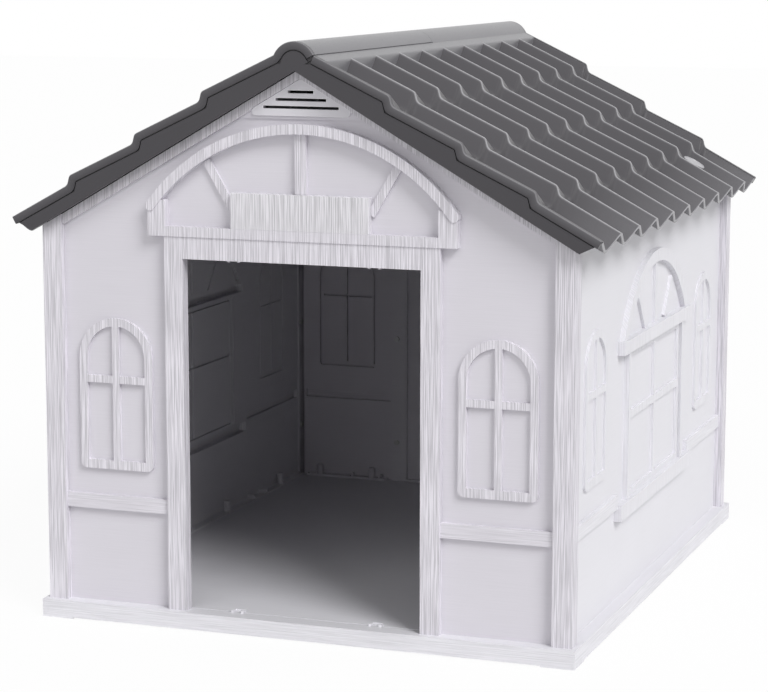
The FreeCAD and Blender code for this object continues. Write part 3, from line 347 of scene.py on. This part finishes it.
def beside_upright(x, y, z):
    """Metres across upright grain on an end wall, carried round its returns."""
    return x + turned_share * y


def level(x, y, z):
    """Metres along level grain on an end wall."""
    return x


def beside_level(x, y, z):
    """Metres across level grain on an end wall, carried round its returns."""
    return z + turned_share * y


def near(value, low, high):
    """Where a value lies between two limits."""
    return (value > low) & (value < high)


end_wall_grain = [
    (lambda x, y, z: (y < trim_front) & near(z, band_low, band_high), level, beside_level,
     band_grain_share),
    (lambda x, y, z: (y < trim_front) | (np.abs(x) > post_inner), upright, beside_upright, 1.0),
    (lambda x, y, z: z > -1, level, beside_level, field_grain_share),
]
wall_edge_width = 0.0007
wall_face = grained_plastic("wall_plastic", linear(217, 214, 221), 0.50, 0.0006, 0.24)
# Painted highlight: the soft edges of the end walls and the infill take a lighter copy of the wall
# plastic.
wall_edge_highlight = grained_plastic("wall_edge_painted_highlight", linear(228, 226, 231), 0.46, 0.0003, 0.10)
for wall_name, wall_turn in (("front_wall", 1), ("rear_wall", -1)):
    wall_mesh = whole_faces(wall_name)
    lay_grain(wall_mesh, end_wall_grain, wall_turn)
    moulded_piece(wall_name + "_moulding", wall_mesh, wall_face, wall_edge_highlight, wall_edge_width,
                  "house", wall_name)


# ---- side walls ----
# Two alike mouldings that slide into the corner posts: a large window with a segmental hood in
# the middle, a small arched window each side of it, and a ledge at the head for the roof.
side_trim = 0.3293
band_inner_end = 0.1845
side_trim_grain_share = 0.45


def lengthways(x, y, z):
    """Metres along level grain on a side wall."""
    return y


def beside_lengthways(x, y, z):
    """Metres across level grain on a side wall, carried round its returns."""
    return z + turned_share * x


def beside_side_upright(x, y, z):
    """Metres across upright grain on a side wall, carried round its returns."""
    return y + turned_share * x


side_wall_grain = [
    (lambda x, y, z: (np.abs(x) > side_trim) & near(z, band_low, band_high)
     & (np.abs(y) > band_inner_end), lengthways, beside_lengthways, band_grain_share),
    (lambda x, y, z: np.abs(x) > side_trim, upright, beside_side_upright, side_trim_grain_share),
    (lambda x, y, z: z > -1, lengthways, beside_lengthways, field_grain_share),
]
# The side walls take the wall plastic made lighter, painted light for the right side that the lamp
# lights most; their soft edges are lighter still, a painted highlight.
side_face_painted_light = grained_plastic("side_wall_plastic_painted_light", linear(226, 225, 230), 0.50, 0.0006, 0.16)
side_edge_highlight = grained_plastic("side_wall_edge_painted_highlight", linear(234, 233, 238), 0.44, 0.0004, 0.08)
for wall_name in ("right_side_wall", "left_side_wall"):
    wall_mesh = whole_faces(wall_name)
    lay_grain(wall_mesh, side_wall_grain)
    moulded_piece(wall_name + "_moulding", wall_mesh, side_face_painted_light, side_edge_highlight, wall_edge_width,
                  "house", wall_name)


# ---- name plates ----
# A blank plate over each doorway, pressed into the wall with two pegs; its face has the
# strongest grain on the house, upright, and its edges are rounded.
plate_edge_width = 0.0008
plate_face = grained_plastic("name_plate_plastic", linear(218, 216, 221), 0.52, 0.0007, 0.26)
# Painted highlight: the plates' rounded edges take a lighter copy of the plate plastic.
plate_edge_highlight = grained_plastic("name_plate_edge_painted_highlight", linear(226, 225, 230), 0.44, 0.0004, 0.08)
plate_grain = [(lambda x, y, z: z > -1, upright, beside_upright, 1.0)]
for plate_name in ("front_name_plate", "rear_name_plate"):
    plate_mesh = whole_faces(plate_name)
    lay_grain(plate_mesh, plate_grain)
    moulded_piece(plate_name + "_blank", plate_mesh, plate_face, plate_edge_highlight, plate_edge_width,
                  "house", plate_name)


# ---- gable vents ----
# A flanged louvre in each gable with three slots that grow shorter upward; smooth plastic, and
# the slots' rims carry a painted highlight in a lighter edge colour.
vent_edge_width = 0.0006
vent_face = grained_plastic("vent_plastic", linear(218, 216, 222), 0.46, 0.0002, 0.05)
# Painted highlight: the louvre's soft edges take a lighter copy of the vent plastic.
vent_edge_highlight = grained_plastic("vent_edge_painted_highlight", linear(236, 235, 239), 0.40, 0.0002, 0.04)
vent_grain = [(lambda x, y, z: z > -1, level, beside_level, 0.10)]
for vent_name in ("front_gable_vent", "rear_gable_vent"):
    vent_mesh = whole_faces(vent_name)
    lay_grain(vent_mesh, vent_grain)
    moulded_piece(vent_name + "_louvre", vent_mesh, vent_face, vent_edge_highlight, vent_edge_width,
                  "house", vent_name)


# ---- doorway infill ----
# The panel that closes the rear doorway, screwed on from inside; it has a shallow plug that
# fills the opening, with a smooth face like the walls' field.
infill_edge_width = 0.0008
infill_face = grained_plastic("infill_plastic", linear(214, 212, 218), 0.50, 0.0005, 0.10)
infill_grain = [(lambda x, y, z: z > -1, level, beside_level, 0.15)]
infill_mesh = whole_faces("rear_doorway_infill")
lay_grain(infill_mesh, infill_grain)
moulded_piece("rear_infill_panel", infill_mesh, infill_face, wall_edge_highlight, infill_edge_width,
              "house", "rear_doorway_infill")


# ---- screws ----
# Zinc-plated pan-head screws in the corners, under the floor, round the infill and along the
# ridge; the plating is bright with fine turning marks.
screw_steel = bpy.data.materials.new("zinc_plate")
screw_steel.use_nodes = True
steel_tree = screw_steel.node_tree
steel = steel_tree.nodes["Principled BSDF"]
steel.inputs["Metallic"].default_value = 1.0
steel_place = steel_tree.nodes.new("ShaderNodeTexCoord")
steel_marks = node_of(steel_tree, "ShaderNodeTexNoise", Vector=steel_place.outputs["Object"],
                      Scale=900.0, Detail=3.0)
steel_gloss = node_of(steel_tree, "ShaderNodeMapRange", Value=steel_marks.outputs["Fac"])
steel_gloss.inputs["To Min"].default_value = 0.22
steel_gloss.inputs["To Max"].default_value = 0.45
steel_tree.links.new(steel_gloss.outputs[0], steel.inputs["Roughness"])
steel_tint = node_of(steel_tree, "ShaderNodeMapRange", Value=steel_marks.outputs["Fac"])
steel_tint.inputs["To Min"].default_value = 0.50
steel_tint.inputs["To Max"].default_value = 0.66
steel_tree.links.new(steel_tint.outputs[0], steel.inputs["Base Color"])
steel_bump = node_of(steel_tree, "ShaderNodeBump", Height=steel_marks.outputs["Fac"],
                     Strength=0.25, Distance=0.0001)
steel_tree.links.new(steel_bump.outputs[0], steel.inputs["Normal"])
for screw_name, screw_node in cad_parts.items():
    if "screws" in screw_name:
        screw_node.data.materials.clear()
        screw_node.data.materials.append(screw_steel)


# ---- roof tiles ----
# Each roof half is one sheet 4 mm thick: four courses that step down towards the eave, each
# with a soft nose, and a wave of tiles along the house, whose crests and eave rim carry a painted
# highlight in a lighter colour.
verge = 0.424
ridge_foot = (0.02553, 0.70553)
tile_head = (0.03253, 0.70221)
course_noses = ((0.1185, 0.66138), (0.2065, 0.60892), (0.2945, 0.55646))
course_feet = ((0.1215, 0.64928), (0.2095, 0.59682), (0.2975, 0.54436))
eave_tip = (0.3730, 0.50337)
eave_slope = math.radians(28.5)
tile_pitch = 0.0853
tile_fall_share = 53.0 / 85.3
tile_depth = 0.0215
tile_count = 10
first_crest = 0.0035
crest_ease = 0.0055
valley_ease = 0.0120
roof_sheet = 0.004
sheet_end = verge - 0.0045
nose_radius = 0.0030
foot_radius = 0.0042
under_nose_radius = 0.0020
under_foot_radius = 0.0056
rim_width = 0.0014
highlight_width = 0.0026
rim_start_highlight = 0.15


def eased(corners, radii, steps):
    """Path through corners in which each inner corner is a short curve: with A and B the points
    one radius before and after corner C, the curve is (1-t)^2 A + 2t(1-t) C + t^2 B."""
    corners = np.array(corners, float)
    inner = corners[1:-1]
    back = corners[:-2] - inner
    forth = corners[2:] - inner
    radii = np.broadcast_to(np.array(radii, float), (len(inner),))[:, None]
    start = inner + back / np.linalg.norm(back, axis=1)[:, None] * radii
    end = inner + forth / np.linalg.norm(forth, axis=1)[:, None] * radii
    t = np.linspace(0, 1, steps)[None, :, None]
    curve = ((1 - t) ** 2 * start[:, None] + 2 * t * (1 - t) * inner[:, None]
             + t ** 2 * end[:, None])
    return np.vstack((corners[:1], curve.reshape(-1, 2), corners[-1:]))


def set_in(corners, depth):
    """Corners of the same path moved square to its stretches, to the inner side, by a depth."""
    corners = np.array(corners, float)
    run = np.diff(corners, axis=0)
    run /= np.linalg.norm(run, axis=1)[:, None]
    square = np.column_stack((run[:, 1], -run[:, 0]))
    before = np.vstack((square[:1], square))
    after = np.vstack((square, square[-1:]))
    share = 1 + (before * after).sum(1)
    return corners + depth * (before + after) / share[:, None]


def tile_holding(y):
    """Distance behind the tile's front crest, the tile's length and its falling length."""
    from_first = np.asarray(y, float) + verge - first_crest
    index = np.clip(np.floor(from_first / tile_pitch), 0, tile_count - 1)
    last = 2 * (verge - first_crest) - (tile_count - 1) * tile_pitch
    length = np.where(index < tile_count - 1, tile_pitch, last)
    return from_first - index * tile_pitch, length, length * tile_fall_share


def wave(y):
    """Depth of the tile wave below its crests. On each slope, with s the share of it behind the
    crest, a and b the shares of the curves at crest and valley and m = 1/(1-(a+b)/2), the depth
    is m s^2/2a, then straight m (s-a/2), then 1 - m (1-s)^2/2b of the whole."""
    along, length, fall = tile_holding(y)
    run = np.where(along < fall, fall, length - fall)
    s = np.abs(np.where(along < fall, along, length - along) / run)
    a = crest_ease / run
    b = valley_ease / run
    m = 1 / (1 - (a + b) / 2)
    depth = np.where(s < a, m * s ** 2 / (2 * a),
                     np.where(s > 1 - b, 1 - m * (1 - s) ** 2 / (2 * b), m * (s - a / 2)))
    return -tile_depth * depth


def from_crest(y):
    """Distance along the house to the nearest crest."""
    along, length, fall = tile_holding(y)
    return np.minimum(np.abs(along), np.abs(length - along))


def body_between(outer, inner, painted_highlight=None):
    """Closed body between two surfaces on the same grid: both surfaces and the four strips that
    join their borders. Returns points, four-sided faces and each point's painted highlight share
    as arrays; the inner surface gets less of the painted highlight by a fixed share."""
    inner_highlight_share = 0.6
    rows, columns = outer.shape[:2]
    index = np.arange(rows * columns).reshape(rows, columns)
    other = index + rows * columns

    def quads(a, b, c, d):
        return np.stack((a, b, c, d), axis=-1).reshape(-1, 4)

    def strip(low, high):
        return quads(low[:-1], low[1:], high[1:], high[:-1])

    faces = np.vstack((
        quads(index[:-1, :-1], index[1:, :-1], index[1:, 1:], index[:-1, 1:]),
        quads(other[:-1, :-1], other[:-1, 1:], other[1:, 1:], other[1:, :-1]),
        strip(other[:, 0], index[:, 0]), strip(index[:, -1], other[:, -1]),
        strip(index[0], other[0]), strip(other[-1], index[-1])))
    outer_highlight = np.zeros((rows, columns)) if painted_highlight is None else painted_highlight
    highlight_amount = np.concatenate((outer_highlight.ravel(), (outer_highlight * inner_highlight_share).ravel()))
    return np.vstack((outer.reshape(-1, 3), inner.reshape(-1, 3))), faces, highlight_amount


def outward_mesh(name, points, faces, sharp_angle):
    """Mesh with its faces turned outwards and smooth but for edges above an angle in degrees."""
    mesh = bpy.data.meshes.new(name)
    mesh.from_pydata(points, [], faces)
    outward = bmesh.new()
    outward.from_mesh(mesh)
    bmesh.ops.recalc_face_normals(outward, faces=outward.faces)
    outward.to_mesh(mesh)
    outward.free()
    mesh.shade_smooth()
    mesh.set_sharp_from_angle(angle=math.radians(sharp_angle))
    return mesh


def one_mesh(name, bodies, turn=1):
    """One mesh of several bodies, half a turn about upright if turn is -1, with every body's
    faces turned outwards and each point's painted highlight share kept with the points."""
    start = 0
    points = []
    faces = []
    for body_points, body_faces, _ in bodies:
        points.append(body_points * (turn, turn, 1))
        faces.append(body_faces + start)
        start += len(body_points)
    mesh = outward_mesh(name, np.vstack(points), np.vstack(faces).tolist(), 38)
    spread = mesh.attributes.new("painted_highlight", "FLOAT", "POINT")
    spread.data.foreach_set("value", np.concatenate([body[2] for body in bodies]))
    return mesh


def tile_places(low, high):
    """Places along the house, close together where the wave bends, with both ends."""
    least_gap = 4e-4
    bend = np.linspace(0, 1, 7)
    marks = []
    for index in range(tile_count):
        crest = first_crest - verge + index * tile_pitch
        _, length, fall = tile_holding(crest + 1e-5)
        for start, run, way in ((crest, fall, 1), (crest + length, length - fall, -1)):
            steps = np.concatenate((bend * crest_ease,
                                    np.linspace(crest_ease, run - valley_ease, 4)[1:-1],
                                    run - bend[::-1] * valley_ease))
            marks.append(start + way * steps)
    places = np.unique(np.concatenate(marks).round(6))
    inside = places[near(places, low + least_gap, high - least_gap)]
    return np.concatenate(((low,), inside, (high,)))


def along_house(path, places, drop):
    """Surface: a section path (x, z) carried along the house and let down by drop(y) at each
    place y."""
    x = np.repeat(path[:, :1], len(places), axis=1)
    y = np.repeat(places[None], len(path), axis=0)
    return np.stack((x, y, path[:, 1:] + drop(places)[None]), axis=-1)


def square_ended(surface, places, rows):
    """The tile surface with its last rows moved along the slope, so that the eave is cut square
    to the tiles: by the wave's depth times the slope's sine, in towards the house."""
    shift = wave(places) * math.sin(eave_slope)
    surface[-rows:, :, 0] += shift * math.cos(eave_slope)
    surface[-rows:, :, 2] -= shift * math.sin(eave_slope)
    return surface


def roof_plastic(name, colour, highlight_colour, roughness):
    """Dark moulded plastic: a faint cloud in the colour, which turns to a lighter colour, a
    painted highlight, where the piece's highlight attribute says so, a finer speckle in the gloss
    and a very fine pebble in the bump."""
    gloss_swing = 0.06
    material = bpy.data.materials.new(name)
    material.use_nodes = True
    tree = material.node_tree
    shader = tree.nodes["Principled BSDF"]
    shader.inputs["IOR"].default_value = 1.50
    place = tree.nodes.new("ShaderNodeTexCoord")
    cloud = node_of(tree, "ShaderNodeTexNoise", Vector=place.outputs["Object"], Scale=11.0,
                    Detail=3.0)
    cloud_tone = node_of(tree, "ShaderNodeMapRange", Value=cloud.outputs["Fac"])
    cloud_tone.inputs["To Min"].default_value = 0.92
    cloud_tone.inputs["To Max"].default_value = 1.08
    speckle = node_of(tree, "ShaderNodeTexNoise", Vector=place.outputs["Object"], Scale=420.0,
                      Detail=3.0)
    # Painted highlight: the point attribute read here says how far the colour turns lighter.
    painted_highlight = tree.nodes.new("ShaderNodeAttribute")
    painted_highlight.attribute_name = "painted_highlight"
    ragged = node_of(tree, "ShaderNodeMapRange", Value=speckle.outputs["Fac"])
    ragged.inputs["To Min"].default_value = 0.75
    ragged.inputs["To Max"].default_value = 1.25
    highlight_amount = node_of(tree, "ShaderNodeMath")
    highlight_amount.operation = "MULTIPLY"
    highlight_amount.use_clamp = True
    tree.links.new(painted_highlight.outputs["Fac"], highlight_amount.inputs[0])
    tree.links.new(ragged.outputs[0], highlight_amount.inputs[1])
    paint = tree.nodes.new("ShaderNodeMix")
    paint.data_type = "RGBA"
    plain_side, highlight_side = [socket for socket in paint.inputs if socket.type == "RGBA"]
    plain_side.default_value = colour
    highlight_side.default_value = highlight_colour
    tree.links.new(highlight_amount.outputs[0], paint.inputs[0])
    mixed = [socket for socket in paint.outputs if socket.type == "RGBA"][0]
    toned = node_of(tree, "ShaderNodeVectorMath")
    toned.operation = "SCALE"
    tree.links.new(mixed, toned.inputs[0])
    tree.links.new(cloud_tone.outputs[0], toned.inputs["Scale"])
    tree.links.new(toned.outputs[0], shader.inputs["Base Color"])
    gloss = node_of(tree, "ShaderNodeMapRange", Value=speckle.outputs["Fac"])
    gloss.inputs["To Min"].default_value = roughness - gloss_swing
    gloss.inputs["To Max"].default_value = roughness + gloss_swing
    tree.links.new(gloss.outputs[0], shader.inputs["Roughness"])
    bump = node_of(tree, "ShaderNodeBump", Height=speckle.outputs["Fac"], Strength=0.35,
                   Distance=0.0002)
    tree.links.new(bump.outputs[0], shader.inputs["Normal"])
    return material


def roof_piece(name, mesh, material, *replaced, slot="roof_plastic"):
    """Roof piece that rides with the lift-off roof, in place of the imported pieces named."""
    mesh.materials.append(material)
    piece = bpy.data.objects.new(name, mesh)
    bpy.context.scene.collection.objects.link(piece)
    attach(piece, "roof")
    if replaced:
        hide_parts(*replaced)


def with_rim(path, width):
    """The path with one more point just before its end, where the eave rim's painted highlight
    begins.
    """
    back = path[-2] - path[-1]
    return np.vstack((path[:-1], path[-1] + back / np.linalg.norm(back) * width, path[-1:]))


crest_corners = [tile_head]
for nose, foot in zip(course_noses, course_feet):
    crest_corners += [nose, foot]
crest_corners.append(eave_tip)
steps_down = len(course_noses)
tile_top = with_rim(eased(crest_corners, [nose_radius, foot_radius] * steps_down, 6), rim_width)
tile_under = with_rim(eased(set_in(crest_corners, roof_sheet),
                            [under_nose_radius, under_foot_radius] * steps_down, 6), rim_width)
sheet_places = tile_places(-sheet_end, sheet_end)
# Painted highlight: a narrow lighter band along each crest, and the eave rim's end face wholly
# lighter.
crest_highlight = np.exp(-(from_crest(sheet_places) / highlight_width) ** 2)
tile_highlight = np.repeat(crest_highlight[None], len(tile_top), axis=0)
tile_highlight[-2] = np.maximum(tile_highlight[-2], rim_start_highlight)
tile_highlight[-1] = 1.0
tile_sheet = body_between(
    square_ended(along_house(tile_top, sheet_places, wave), sheet_places, 2),
    square_ended(along_house(tile_under, sheet_places, wave), sheet_places, 2), tile_highlight)
roof_dark = linear(64, 62, 66)
# Lighter colour of the painted highlights on crests, eave rims and verge band edges.
roof_highlight_colour = linear(160, 159, 163)
tile_material = roof_plastic("tile_plastic", roof_dark, roof_highlight_colour, 0.34)
for side_name, side_turn in (("right", 1), ("left", -1)):
    tiles_name = "roof_tiles_" + side_name
    roof_piece(tiles_name, one_mesh(tiles_name, [tile_sheet], side_turn), tile_material,
               "roof_panel_" + side_name)


# ---- ridge ----
# Each half carries half of the ridge roll, a tube 4 mm thick that laps over the other half's
# smooth strip, and a level tongue under the other half's roll; screws hold tongue and roll.
roll_middle = 0.69403
roll_radius = 0.028
roll_wall = 0.004
roll_start = math.asin(0.0035 / roll_radius)
roll_end = math.pi - math.asin(0.0127 / roll_radius)
half_gap = 0.00025
strip_end = 0.03953
strip_corners = [(0.02353, 0.70648), (strip_end, 0.69888), (strip_end, 0.6734)]
strip_wall = 0.0038
tongue_wall = 0.004
tongue_top = np.array(((0.002, 0.70153), (0.02653, 0.70153)))
tongue_end = 0.0077 - verge


def even(places):
    """No drop: the section is the same all along the house."""
    return np.zeros(len(places))


def about_ridge(radius, angles):
    """Section points on a circle about the ridge roll's axis."""
    return np.column_stack((radius * np.cos(angles), roll_middle + radius * np.sin(angles)))


roll_angles = np.linspace(roll_start, roll_end, 33)
roll_places = np.array((half_gap, 0.0012, 0.12, 0.30, verge - 0.005))
roll_outer = along_house(about_ridge(roll_radius, roll_angles), roll_places, even)
roll_inner = along_house(about_ridge(roll_radius - roll_wall, roll_angles), roll_places, even)
strip_top = eased(strip_corners, 0.0022, 6)
strip_under = eased(set_in(strip_corners, strip_wall), 0.0012, 6)
strip_places = np.linspace(-sheet_end, sheet_end, 9)
tongue_places = np.linspace(tongue_end, -half_gap, 5)
ridge_bodies = [
    body_between(roll_outer, roll_inner),
    body_between(along_house(strip_top, strip_places, even),
                 along_house(strip_under, strip_places, even)),
    body_between(along_house(tongue_top, tongue_places, even),
                 along_house(tongue_top - (0, tongue_wall), tongue_places, even)),
]
# The ridge takes a lighter copy of the roof plastic, painted light for its upward faces that the
# lamp lights from above.
ridge_material_painted_light = roof_plastic("ridge_plastic_painted_light", linear(112, 111, 115), roof_highlight_colour, 0.30)
for side_name, side_turn in (("right", 1), ("left", -1)):
    ridge_name = "ridge_half_" + side_name
    roof_piece(ridge_name, one_mesh(ridge_name, ridge_bodies, side_turn), ridge_material_painted_light)


# ---- verges ----
# The roof's two ends: a narrow band that follows the stepped crest line, then a fine dark
# groove, then a flat fascia whose lower edge runs straight down the gable.
band_depth = 0.0100
band_width = 0.0070
groove_depth = 0.0110
groove_floor = 0.0036
groove_corner = 0.00005
least_groove_rise = 0.0006
fascia_recess = 0.0012
band_foot_radius = 0.0056
band_nose_radius = 0.0016
band_roll_rise = 0.0115
band_roll_lead = 0.04
dome_foot = 0.7045
gable_slope = 0.57735
seat_height = 0.6888
fascia_foot = seat_height - 0.001
eave_bevel = ((0.3660, 0.4969), (0.3730, 0.5015))
bevel_start = 0.3465
crest_line = np.array([ridge_foot] + crest_corners[1:])


def verge_path(with_roll):
    """Points of the crest line, and of the band's lower edge below it, both as arrays."""
    path = eased(crest_line[::-1], [foot_radius, nose_radius] * steps_down, 6)
    deeper = eased(set_in(crest_line, band_depth)[::-1],
                   [band_foot_radius, band_nose_radius] * steps_down, 6)
    if with_roll:
        angles = np.linspace(math.asin(band_roll_rise / roll_radius) + band_roll_lead, roll_end,
                             25)
        path = np.vstack((path, about_ridge(roll_radius, angles)))
        deeper = np.vstack((deeper, about_ridge(roll_radius - band_depth, angles)))
    return path, deeper


def verge_band(with_roll):
    """Closed band: the profile (distance from the verge face, share of the depth) carried along
    the crest line, each point between the crest and its deeper twin."""
    profile = np.array((
        (band_width, 0.00), (0.0014, 0.00), (0.0004, 0.04), (0.0000, 0.13), (0.0000, 0.94),
        (0.0007, 1.00), (band_width, 1.00)))
    # Painted highlight along the band's rounded upper front edge.
    highlight_amount = np.array((0.0, 0.3, 0.5, 0.1, 0.0, 0.0, 0.0))
    path, deeper = verge_path(with_roll)
    share = profile[:, 1][:, None, None]
    section = path[None] * (1 - share) + deeper[None] * share
    y = np.repeat((profile[:, 0] - verge)[:, None], len(path), axis=1)
    outer = np.stack((section[..., 0], y, section[..., 1]), axis=-1)
    inner = outer.copy()
    inner[..., 1] = band_width - verge
    return body_between(outer, inner, np.repeat(highlight_amount[:, None], len(path), axis=1))


def fascia(with_roll):
    """Plate behind the band: its face lies deep in the groove under the band, steps forward,
    and runs down to the straight lower edge, which is bevelled at the eave."""
    low_x = -ridge_foot[0] if with_roll else 0.0
    groove_line = set_in(crest_line, groove_depth)
    x = np.unique(np.concatenate((np.linspace(low_x, ridge_foot[0], 31), crest_line[:, 0],
                                  groove_line[:, 0][groove_line[:, 0] > low_x],
                                  (bevel_start, eave_bevel[0][0]),
                                  np.linspace(0.03, 0.37, 50))))
    x = x[(x >= low_x) & (x <= eave_tip[0])]
    seam = fascia_foot + np.abs(x) * gable_slope
    low = fascia_foot - x * gable_slope
    top = np.interp(x, crest_line[:, 0], crest_line[:, 1] - fascia_recess)
    groove = np.interp(x, groove_line[:, 0], groove_line[:, 1])
    near_ridge = x < ridge_foot[0] - 1e-6
    if with_roll:
        dome = roll_middle + np.sqrt(np.clip((roll_radius - fascia_recess) ** 2 - x ** 2, 0, None))
        ring = roll_middle + np.sqrt(np.clip((roll_radius - groove_depth) ** 2 - x ** 2, 0, None))
        top = np.where(near_ridge, np.maximum(dome, dome_foot), top)
        groove = np.where(x < 0, np.where(ring > roll_middle, ring, seam + least_groove_rise),
                          np.maximum(groove, np.where(ring > roll_middle, ring, 0)))
        low = np.where(x < 0, seam, low)
    else:
        top = np.where(near_ridge, seam, top)
    bevel = np.array([(bevel_start, fascia_foot - bevel_start * gable_slope), *eave_bevel])
    low = np.where(x > bevel_start, np.interp(x, bevel[:, 0], bevel[:, 1]), low)
    groove = np.clip(groove, low, top)
    z = np.stack((top, groove, groove - groove_corner, (groove + low) / 2, low))
    depths = np.array([groove_floor] * 2 + [fascia_recess] * 3) - verge
    wide = np.repeat(x[None], len(z), axis=0)
    front = np.stack((wide, np.repeat(depths[:, None], len(x), axis=1), z), axis=-1)
    back = front.copy()
    back[..., 1] = band_width - verge
    return body_between(front, back)


def facing_back(made):
    """The same body mirrored to the rear end of the half."""
    points, faces, highlight_amount = made
    return points * (1, -1, 1), faces[:, ::-1], highlight_amount


verge_bodies = [verge_band(False), fascia(False), facing_back(verge_band(True)),
                facing_back(fascia(True))]
# The verges take a darker copy of the roof plastic, painted shade for their end faces turned away
# from the lamp.
verge_material_painted_shade = roof_plastic("verge_plastic_painted_shade", linear(57, 55, 59), roof_highlight_colour, 0.40)
for side_name, side_turn in (("right", 1), ("left", -1)):
    verges_name = "verges_" + side_name
    roof_piece(verges_name, one_mesh(verges_name, verge_bodies, side_turn), verge_material_painted_shade)


# ---- ribs under the roof ----
# Ribs across and along each half: the outer ones rest on the gables and on the side walls'
# ledges, and the ones just inside them reach lower and keep the roof in its place.
rib_root = 0.0025
rib_start = 0.0265
seat_rib_wall = 0.004
keeper_wall = 0.003
keeper_drop = 0.010
eave_rib_reach = 0.380


def rib_across(y_middle, thickness, low_x, high_x, drop):
    """Upright rib from under the tiles down to the seat line, or below it by a drop."""
    x = np.unique(np.concatenate(((low_x, high_x),
                                  crest_line[:, 0][near(crest_line[:, 0], low_x, high_x)],
                                  np.linspace(low_x, high_x, 24))))
    top = np.interp(x, crest_line[:, 0], crest_line[:, 1]) + wave(y_middle) - rib_root
    low = seat_height - x * gable_slope - drop
    z = np.stack((top, low))
    wide = np.repeat(x[None], 2, axis=0)
    front = np.stack((wide, np.full_like(z, y_middle - thickness / 2), z), axis=-1)
    return body_between(front, front + (0, thickness, 0))


def rib_along(x_outer, thickness, low_z):
    """Upright rib along the eave whose top follows the tile wave."""
    places = tile_places(-eave_rib_reach, eave_rib_reach)
    crest = np.interp(x_outer, (course_feet[2][0], eave_tip[0]), (course_feet[2][1], eave_tip[1]))
    z = np.stack((crest + wave(places) - rib_root, np.full(len(places), low_z)))
    y = np.repeat(places[None], 2, axis=0)
    outer = np.stack((np.full_like(z, x_outer), y, z), axis=-1)
    return body_between(outer, outer - (thickness, 0, 0))


rib_bodies = [rib_along(0.3200, seat_rib_wall, 0.498), rib_along(0.3087, keeper_wall, 0.488)]
for end in (-1, 1):
    rib_bodies.append(rib_across(end * 0.400, seat_rib_wall, rib_start, 0.337, 0.0))
    rib_bodies.append(rib_across(end * 0.3912, keeper_wall, rib_start, 0.300, keeper_drop))
for side_name, side_turn in (("right", 1), ("left", -1)):
    ribs_name = "roof_ribs_" + side_name
    roof_piece(ribs_name, one_mesh(ribs_name, rib_bodies, side_turn), tile_material)


# ---- roof plaques ----
# A small blank oval on each half's lowest course, light grey with a raised rim, on a dark seat
# that stands up from the tile valley.
last_riser_x, last_riser_z = course_feet[-1]
plaque_below_riser = 0.0160
plaque_place = np.array((last_riser_x + plaque_below_riser, 0.290,
                         last_riser_z - plaque_below_riser * math.tan(eave_slope)))
plaque_half_length = 0.0160
plaque_half_width = 0.0160


def oval(profile, turn, steps=48):
    """Closed oval body: a profile (share of the half axes, height square to the tile) turned
    about the plaque's middle, its first and last points at the middle."""
    profile = np.array(profile, float)
    angle = np.linspace(0, 2 * np.pi, steps + 1)[:-1]
    across = np.array((math.cos(eave_slope), 0.0, -math.sin(eave_slope)))
    normal = np.array((math.sin(eave_slope), 0.0, math.cos(eave_slope)))
    share = profile[1:-1, 0][:, None, None]
    height = profile[1:-1, 1][:, None, None]
    ring = (plaque_half_length * np.cos(angle)[None, :, None] * across
            + plaque_half_width * np.sin(angle)[None, :, None] * (0.0, 1.0, 0.0))
    rings = (plaque_place + share * ring + height * normal).reshape(-1, 3)
    ends = plaque_place + profile[[0, -1], 1][:, None] * normal
    index = np.arange(len(rings)).reshape(-1, steps)
    after = np.roll(index, -1, axis=1)
    sides = np.stack((index[:-1], after[:-1], after[1:], index[1:]), axis=-1).reshape(-1, 4)
    first = np.full(steps, len(rings))
    caps = np.vstack((np.column_stack((first, after[0], index[0])),
                      np.column_stack((first + 1, index[-1], after[-1]))))
    return outward_mesh("oval", np.vstack((rings, ends)) * (turn, turn, 1),
                        sides.tolist() + caps.tolist(), 40)


plaque_profile = ((0, -0.0022), (0.55, -0.0022), (0.86, -0.0022), (0.89, -0.0016),
                  (0.94, -0.0015), (0.985, -0.0019), (1.0, -0.0024), (1.0, -0.0036),
                  (0.98, -0.0040), (0, -0.0040))
seat_profile = ((0, -0.0040), (0.70, -0.0040), (0.70, -0.0200), (0, -0.0200))
plaque_material = roof_plastic("plaque_plastic", linear(166, 165, 169), linear(190, 189, 193),
                               0.38)
for side_name, side_turn in (("right", 1), ("left", -1)):
    roof_piece("plaque_seat_" + side_name, oval(seat_profile, side_turn), tile_material)
    roof_piece("plaque_" + side_name, oval(plaque_profile, side_turn), plaque_material,
               "roof_plaque_" + side_name, slot="plaque_plastic")
